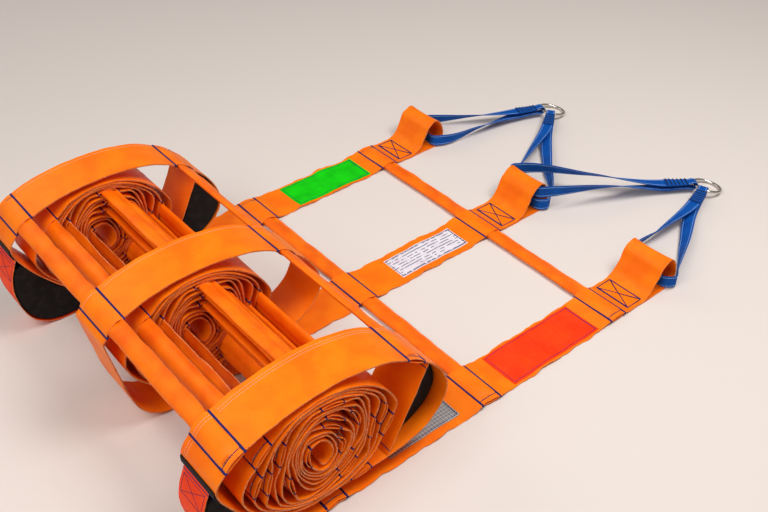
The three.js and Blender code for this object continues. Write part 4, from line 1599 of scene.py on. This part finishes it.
@dataclass
class StandOffs:
    """Foam stand-offs in black covers, with the bands that hold them to the outer straps."""

    straps: Straps
    finishes: Finishes
    round_off: float = 4 * MM
    slack: float = 0.8 * MM
    band_seam: float = 0.8 * MM
    band_seam_inset: float = 7 * MM
    box_seam: float = 0.5 * MM

    def build(self) -> None:
        """Makes both pairs."""
        for side in (Side.LEFT, Side.RIGHT):
            self.foam("front_foam", side, "laid_out_bay")
            self.foam("back_foam", side, "roll")
            self.band("front_band", side, "laid_out_bay", self.finishes.red_orange)
            self.band("back_chord", side, "roll", self.finishes.orange)

    def foam(self, node: str, side: Side, body: str) -> None:
        """Makes one covered foam block, its edges rounded and its sides slightly full."""
        name = f"{node}_{side.value}"
        loop = outline(name)
        apart = np.linalg.norm(loop[:, None] - loop[None], axis=-1)
        first, second = sorted(np.unravel_index(np.argmax(apart), apart.shape))
        one, other = loop[first : second + 1], np.concatenate([loop[second:], loop[: first + 1]])
        count = 36
        section = np.concatenate([self.evenly(one, count), self.evenly(other, count)])
        centre = section.mean(0)
        low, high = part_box(name)
        turn = np.linspace(0, math.pi / 2, 5)
        edge = self.round_off
        left = [(low.x + edge * (1 - math.cos(a)), edge * (1 - math.sin(a))) for a in turn]
        middle = [(v, 0.0) for v in np.linspace(low.x + edge, high.x - edge, 8)[1:-1]]
        right = [(low.x + high.x - v, d) for v, d in left[::-1]]
        rings = []
        normal = unit(section - centre)
        for x, depth in left + middle + right:
            full = 0.6 * MM * wobble(np.arange(len(section)) * 4 * MM + x, 500, 60 * MM)[:, None]
            flat = section - normal * (depth + self.slack) + normal * np.clip(full, -1, 0)
            rings.append(np.concatenate([np.full((len(flat), 1), x), flat], 1))
        skin = Skin()
        skin.loft(np.array(rings))
        made = skin.build(f"{side.value}_{node}_block", [self.finishes.foam], sharp=60)
        settle(made, body, [name])

    @staticmethod
    def evenly(points: Array, count: int) -> Array:
        """Points spread evenly along a chain of straight lines, without rounding its corners."""
        places = run_along(points)
        wanted = np.linspace(0, places[-1], count)
        return np.stack([np.interp(wanted, places, points[:, k]) for k in range(2)], -1)

    def band(self, node: str, side: Side, body: str, material: Material) -> None:
        """Makes the band or chord that shuts a stand-off, with its seams."""
        name = f"{node}_{side.value}"
        near = self.straps.hinges["bay_fold"] if node == "front_band" else self.straps.hinges["roll_turn"]
        middles, _ = middle_line(name, near)
        route = StrapRoute(Line(middles), [], 0.0)
        low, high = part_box(name)
        width = high.x - low.x
        cloth = BandCloth((low.x + high.x) / 2, 0, edge_wave=0.6 * MM, width=width, seed=600 + side.outward)
        skin = Skin()
        length = route.line.length
        cloth.plies(skin, route, np.linspace(0, length, round(length / (4 * MM))))
        for place in (self.band_seam_inset, length - self.band_seam_inset):
            cloth.seam_around(skin, route, place, 2, self.band_seam, 3.4 * MM)
        if node == "front_band":
            self.boxed_end(skin, cloth, route, length)
        made = skin.build(f"{side.value}_{node}_cloth", [material, self.finishes.edge, self.finishes.navy])
        settle(made, body, [name])
        if node == "front_band":
            self.tape(side, route)

    def boxed_end(self, skin: Skin, cloth: "BandCloth", route: StrapRoute, length: float) -> None:
        """Sews a rectangle and its cross at the band's upper end."""
        top, low = length - 12 * MM, length - 42 * MM
        half = cloth.width / 2 - 5 * MM
        steps = np.linspace(0, 1, 9)
        runs = [
            (low, low, -half, half), (top, top, -half, half),
            (low, top, -half, -half), (low, top, half, half),
            (low, top, -half, half), (low, top, half, -half),
        ]
        for start, end, left, right in runs:
            path, out = cloth.surface(
                route, start + (end - start) * steps, cloth.x + left + (right - left) * steps, -1, 0.15 * MM
            )
            skin.thread(path, out, self.box_seam, 3.6 * MM, 2, tight=0.6)

    def tape(self, side: Side, route: StrapRoute) -> None:
        """Makes the black tape that binds the cover's top edge, beyond the band's upper end."""
        strap = self.straps.cloths["bay_3", side]
        strap_route = self.straps.routes["bay_3", side]
        top = route.line.at(np.array([route.line.length]))[0]
        end = strap_route.line.nearest(top)
        places = np.linspace(end - 3 * MM, end + 20 * MM, 10)
        x = np.linspace(strap.x - 40 * MM, strap.x + 40 * MM, 15)
        grid = np.array([strap.surface(strap_route, np.full(len(x), p), x, -1)[0] for p in places])
        out = -in_row_frame(strap_route.line.inward(places))[:, None]
        rise = (0.35 * MM + 1.6 * MM * np.sin(np.linspace(0, math.pi, len(places))))[:, None, None]
        outer = grid + out * (rise + 1.3 * MM)
        skin = Skin()
        skin.loft(there_and_back(outer, grid + out * 0.25 * MM), round_trip(x), places)
        half = len(places) // 2
        line = outer[half] + out[half] * 0.2 * MM
        skin.thread(line, np.broadcast_to(out[half], line.shape), 0.5 * MM, 4 * MM, 1, tight=0.7)
        made = skin.build(f"{side.value}_cover_edge_tape", [self.finishes.black_tape, self.finishes.navy])
        settle(made, "laid_out_bay")


@dataclass
class BandCloth(StrapCloth):
    """A single ply of band cloth."""

    thickness: float = 1.2 * MM

    # How deep and how long the dents in its outer face are.
    DENT_DEPTH = 0.32 * MM
    DENT_LENGTH = 90 * MM

    def half_height(self, route: StrapRoute, places: Array, shares: Array | None = None) -> Array:
        """Half the band's thickness."""
        shares = self.COLUMNS if shares is None else shares
        return np.full((len(places), len(shares)), self.thickness / 2)

    def plies(self, skin: Skin, route: StrapRoute, places: Array) -> None:
        """Adds the one ply."""
        x = self.across(route, places)
        dents = self.DENT_DEPTH * wobble(places, self.seed + 41, self.DENT_LENGTH)
        full = dents[:, None] * (1 - self.COLUMNS**2)
        upper = np.full_like(full, self.thickness / 2)
        off = there_and_back(upper, np.minimum(full, 0) - self.thickness / 2)
        rings = route.sections(places, there_and_back(x, x), off)
        skin.loft(rings, round_trip(self.COLUMNS * self.width / 2), places, self.SLOTS, cap_slot=1)


# ---------------------------------------------------------------------------
# Bridle
# ---------------------------------------------------------------------------


@dataclass
class Station:
    """A point that a sling passes, the way its width points there, and that width."""

    at: Array
    across: Array
    width: float


@dataclass
class Sling:
    """One webbing loop between an end loop and a ring."""

    name: str
    node: str
    body: str
    ring: str
    side: Side
    height: float


@dataclass
class Bridle:
    """Two steel rings and the four slings that tie them to the straps' end loops."""

    straps: Straps
    finishes: Finishes
    webbing_width: float = 25 * MM
    webbing_thickness: float = 1.6 * MM
    width_at_ring: float = 17 * MM
    ring_wire: float = 6 * MM
    ring_radius: float = 28.5 * MM
    ring_tilt: float = math.radians(15)
    loop_far: float = 150 * MM
    inset: float = 22 * MM
    lap: float = 46 * MM
    edge_seam: float = 0.55 * MM
    tack_seam: float = 1.15 * MM
    tack_count: int = 6
    low: float = 16.5 * MM
    high: float = 45.5 * MM

    def slings(self) -> list[Sling]:
        """The four slings."""
        return [
            Sling("left_sling", "sling_left", "left_bridle", "ring_1", Side.LEFT, self.low),
            Sling("centre_left_sling", "sling_centre_left", "left_bridle", "ring_1", Side.CENTRE, self.low),
            Sling(
                "centre_right_sling", "sling_centre_right", "right_bridle", "ring_2", Side.CENTRE, self.high
            ),
            Sling("right_sling", "sling_right", "right_bridle", "ring_2", Side.RIGHT, self.low),
        ]

    @staticmethod
    def cup(shares: Array) -> Array:
        """How far the webbing's face stands up towards its edges, at shares of half its width."""
        return 0.5 * MM * (shares**2 - 0.4)

    def ring_middle(self, ring: str) -> Array:
        """The middle of a ring, from its CAD box."""
        low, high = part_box(ring)
        rise = self.ring_wire / 2 + self.ring_radius * math.sin(self.ring_tilt)
        return np.array([(low.x + high.x) / 2, (low.y + high.y) / 2, rise])

    def build(self) -> None:
        """Makes the slings and the rings."""
        for sling in self.slings():
            self.weave(sling)
        for ring in ("ring_1", "ring_2"):
            self.ring(ring)

    def stations(self, sling: Sling) -> list[Station]:
        """Where a sling goes: round the ring's wire, and a strand to each mouth of the end loop."""
        rung_y = self.straps.rung_frame(1)[0][0]
        far = rung_y + self.loop_far
        eye_x = self.straps.cloths["bay_1", sling.side].x
        middle = self.ring_middle(sling.ring)
        away = unit(np.array([eye_x - middle[0], far - middle[1], 0.0]))
        turn = math.atan2(away[0], -away[1])
        tilted = self.ring_radius * math.cos(turn)
        wire = middle + np.array(
            [
                self.ring_radius * math.sin(turn),
                -tilted * math.cos(self.ring_tilt),
                tilted * math.sin(self.ring_tilt),
            ]
        )
        up = np.array([0.0, 0, 1])
        flat = unit(np.cross(up, away))
        room = self.ring_wire / 2 + self.webbing_thickness + 2.8 * MM

        def off(out: float, height: float, width: float) -> Station:
            """A station this far from the ring's wire, lying flat."""
            return Station(wire + away * out + up * height, flat, width)

        reach = STRAP_WIDTH / 2
        eye_y = far - self.inset
        ring_side = np.sign(middle[0] - eye_x)

        def upright(x: float, y: float) -> Station:
            """A station in the end loop, standing on its edge."""
            return Station(np.array([x, y, sling.height]), up, self.webbing_width)

        def strand(sign: int, height: float) -> list[Station]:
            """The stations from the ring to one mouth of the end loop."""
            mouth = np.array([eye_x + sign * (reach + 9 * MM), far - 8 * MM, sling.height])
            half = (wire + away * 60 * MM) * 0.5 + mouth * 0.5
            half[2] = (wire[2] + height) * 0.3 + sling.height * 0.7
            corner = [] if sign == ring_side else [upright(eye_x + sign * (reach - 2 * MM), far + 12 * MM)]
            return [
                off(60 * MM, height, self.webbing_width),
                Station(half, unit(flat + up), self.webbing_width),
                *corner,
                upright(mouth[0], mouth[1]),
            ]

        near = self.width_at_ring
        return [
            off(-room, 0, near),
            off(0, room, near),
            off(14 * MM, room * 0.7, near + 3 * MM),
            *strand(-1, 5 * MM),
            upright(eye_x - reach, eye_y),
            upright(eye_x, eye_y),
            upright(eye_x + reach, eye_y),
            *strand(1, -5 * MM)[::-1],
            off(14 * MM, -room * 0.7, near + 3 * MM),
            off(0, -room, near),
        ]

    def weave(self, sling: Sling) -> None:
        """Makes one sling with its edge stitching and the tacked lap beside its ring."""
        stations = self.stations(sling)
        line = Line(np.array([s.at for s in stations]), closed=True)
        marks = np.concatenate([line.places[Line.MARGIN : -Line.MARGIN - 1] - line.start, [line.length]])
        widths = np.array([s.width for s in (*stations, stations[0])])
        ways = np.array([s.across for s in (*stations, stations[0])])
        count = round(line.length / (3 * MM))
        places = np.arange(count) * line.length / count

        def lie(at: Array) -> tuple[Array, Array, Array, Array]:
            """Middle, across, out and half width at places."""
            at = np.mod(at, line.length)
            along = line.along(at)
            way = np.stack([np.interp(at, marks, ways[:, k]) for k in range(3)], -1)
            across = unit(way - along * (way * along).sum(1, keepdims=True))
            return line.at(at), across, np.cross(along, across), np.interp(at, marks, widths) / 2

        middle, across, out, half = lie(places)
        columns = np.array([-1, -0.93, -0.66, -0.33, 0, 0.33, 0.66, 0.93, 1])
        thick = self.webbing_thickness / 2 * np.array([0.35, 0.9, 1, 1, 1, 1, 1, 0.9, 0.35])
        cupped = self.cup(columns)
        top = middle[:, None] + across[:, None] * (columns[None] * half[:, None])[..., None]
        top = top + out[:, None] * cupped[None, :, None]
        off = out[:, None] * thick[None, :, None]
        skin = Skin()
        around = round_trip(columns * self.webbing_width / 2)
        skin.loft(there_and_back(top + off, top - off), around, places, closed=True)
        for share in (-0.72, 0.72):
            for face in (-1, 1):
                lift = face * (self.webbing_thickness / 2 + 0.05 * MM) + self.cup(share)
                path = middle + across * (share * half)[:, None] + out * lift
                skin.thread(path, out * face, self.edge_seam, 4.4 * MM, 1, closed=True, tight=0.92, steps=3)
        # The fourth station is the first strand's, and the lap ends there.
        self.tack(skin, lie, marks[3] - self.lap, marks[3])
        made = skin.build(
            sling.name, [self.finishes.webbing, self.finishes.pale_blue, self.finishes.black_thread], sharp=60
        )
        settle(made, sling.body, [sling.node])

    def tack(self, skin: Skin, lie: Callable[[Array], tuple[Array, ...]], start: float, end: float) -> None:
        """Laps the webbing's end over itself and holds it with bars of black thread."""
        places = np.linspace(start, end, 16)
        middle, across, out, half = lie(places)
        columns = np.array([-1, -0.93, -0.5, 0, 0.5, 0.93, 1])
        thick = np.array([0.5, 1.4, 1.5, 1.5, 1.5, 1.4, 0.5]) * MM
        flat = middle[:, None] + across[:, None] * (columns[None] * half[:, None] * 0.98)[..., None]
        base = self.webbing_thickness / 2 + 0.1 * MM + self.cup(columns)
        puff = 0.35 * MM * np.cos(np.linspace(0, 10 * math.pi, len(places)))[:, None]
        top = flat + out[:, None] * (base + thick + puff)[..., None]
        skin.loft(there_and_back(top, flat + out[:, None] * base[None, :, None]), along=places)
        for place in np.linspace(start + 3 * MM, end - 3 * MM, self.tack_count):
            point, side, up, reach = (value[0] for value in lie(np.array([place])))
            ends = np.linspace(-1.04, 1.04, 7)[:, None] * side * reach
            path = point + ends + up * (self.webbing_thickness / 2 + 2.2 * MM)
            skin.thread(path, np.broadcast_to(up, path.shape), self.tack_seam, 2.4 * MM, 2, tight=0.35)

    def ring(self, node: str) -> None:
        """Makes one ring, with the small bead of its weld."""
        middle = self.ring_middle(node)
        turns = np.linspace(0, 2 * math.pi, 96, endpoint=False)
        around = np.linspace(0, 2 * math.pi, 20, endpoint=False)
        spoke = np.stack([np.cos(turns), np.sin(turns), np.zeros(96)], -1)
        weld = 0.12 * MM * np.exp(-(((turns - 2.2) / 0.05) ** 2))
        wire = self.ring_wire / 2 + weld
        up = np.array([0, 0, 1]) * np.sin(around)[None, :, None]
        rim = spoke[:, None] * np.cos(around)[None, :, None] + up
        flat = spoke[:, None] * self.ring_radius + rim * wire[:, None, None]
        tilt = np.array(Matrix.Rotation(-self.ring_tilt, 3, "X"))
        skin = Skin()
        skin.loft(flat @ tilt.T + middle, closed=True)
        made = skin.build(f"{node}_steel", [self.finishes.steel])
        settle(made, node, [node])


# ---------------------------------------------------------------------------
# Studio
# ---------------------------------------------------------------------------


@dataclass
class Studio:
    """A pale floor under soft light, and the camera."""

    finishes: Finishes
    camera_at: tuple[float, float, float] = (1.0492, -0.9297, 1.1327)
    heading: float = math.radians(140.66)
    pitch: float = math.radians(38.71)
    roll: float = math.radians(-0.3)
    lens: float = 45.45
    floor_size: float = 14.0

    def build(self) -> None:
        """Sets up floor, lights and camera."""
        self.floor()
        self.lights()
        self.camera()

    def floor(self) -> None:
        """Lays the floor just under the ladder."""
        half = self.floor_size / 2
        mesh = bpy.data.meshes.new("studio_floor")
        corners = [(-half, -half, 0), (half, -half, 0), (half, half, 0), (-half, half, 0)]
        mesh.from_pydata(corners, [], [(0, 1, 2, 3)])
        mesh.materials.append(self.finishes.floor)
        made = bpy.data.objects.new("studio_floor", mesh)
        made.location.z = -0.4 * MM
        bpy.context.scene.collection.objects.link(made)

    def lights(self) -> None:
        """Hangs a soft key over the laid-out end, one in front, a fill on the left and an even pale sky."""
        world = bpy.data.worlds.new("studio_sky")
        bpy.context.scene.world = world
        world.use_nodes = True
        sky = world.node_tree.nodes["Background"]
        sky.inputs["Color"].default_value = linear("FFF8F2")
        sky.inputs["Strength"].default_value = 0.21
        for name, at, size, power in (
            ("key_softbox", (0.8, 0.6, 2.3), 1.2, 43.0),
            ("front_softbox", (0.4, -1.7, 2.1), 1.4, 32.0),
            ("left_fill_softbox", (-2.2, -0.9, 1.8), 1.6, 9.0),
        ):
            lamp = bpy.data.lights.new(name, "AREA")
            lamp.energy, lamp.size, lamp.color = power, size, (1.0, 0.97, 0.94)
            made = bpy.data.objects.new(name, lamp)
            made.location = at
            aim = Vector((0, -0.1, 0.05)) - Vector(at)
            made.rotation_euler = aim.to_track_quat("-Z", "Y").to_euler()
            bpy.context.scene.collection.objects.link(made)

    def camera(self) -> None:
        """Sets the camera up."""
        data = bpy.data.cameras.new("camera")
        data.lens, data.sensor_width = self.lens, 36.0
        data.clip_start, data.clip_end = 0.05, 60.0
        made = bpy.data.objects.new("camera", data)
        made.location = self.camera_at
        level = math.cos(self.pitch)
        aim = Vector((math.cos(self.heading) * level, math.sin(self.heading) * level, -math.sin(self.pitch)))
        turn = aim.to_track_quat("-Z", "Y") @ Matrix.Rotation(self.roll, 3, "Z").to_quaternion()
        made.rotation_euler = turn.to_euler()
        bpy.context.scene.collection.objects.link(made)
        bpy.context.scene.camera = made
        bpy.context.scene.view_settings.view_transform = "Standard"


def write_sizes() -> None:
    """Updates the view layer."""
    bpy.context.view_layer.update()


def main() -> None:
    """Builds the ladder around the frame, part by part, and the studio around the ladder."""
    logging.basicConfig(level=logging.INFO, format="%(message)s")
    finishes = Finishes()
    straps = Straps(finishes)
    straps.build()
    EndLoops(straps, finishes).build()
    Rungs(straps, finishes).build()
    Patches(straps, finishes).build()
    StandOffs(straps, finishes).build()
    Bridle(straps, finishes).build()
    Studio(finishes).build()
    write_sizes()


if __name__ == "__main__":
    main()
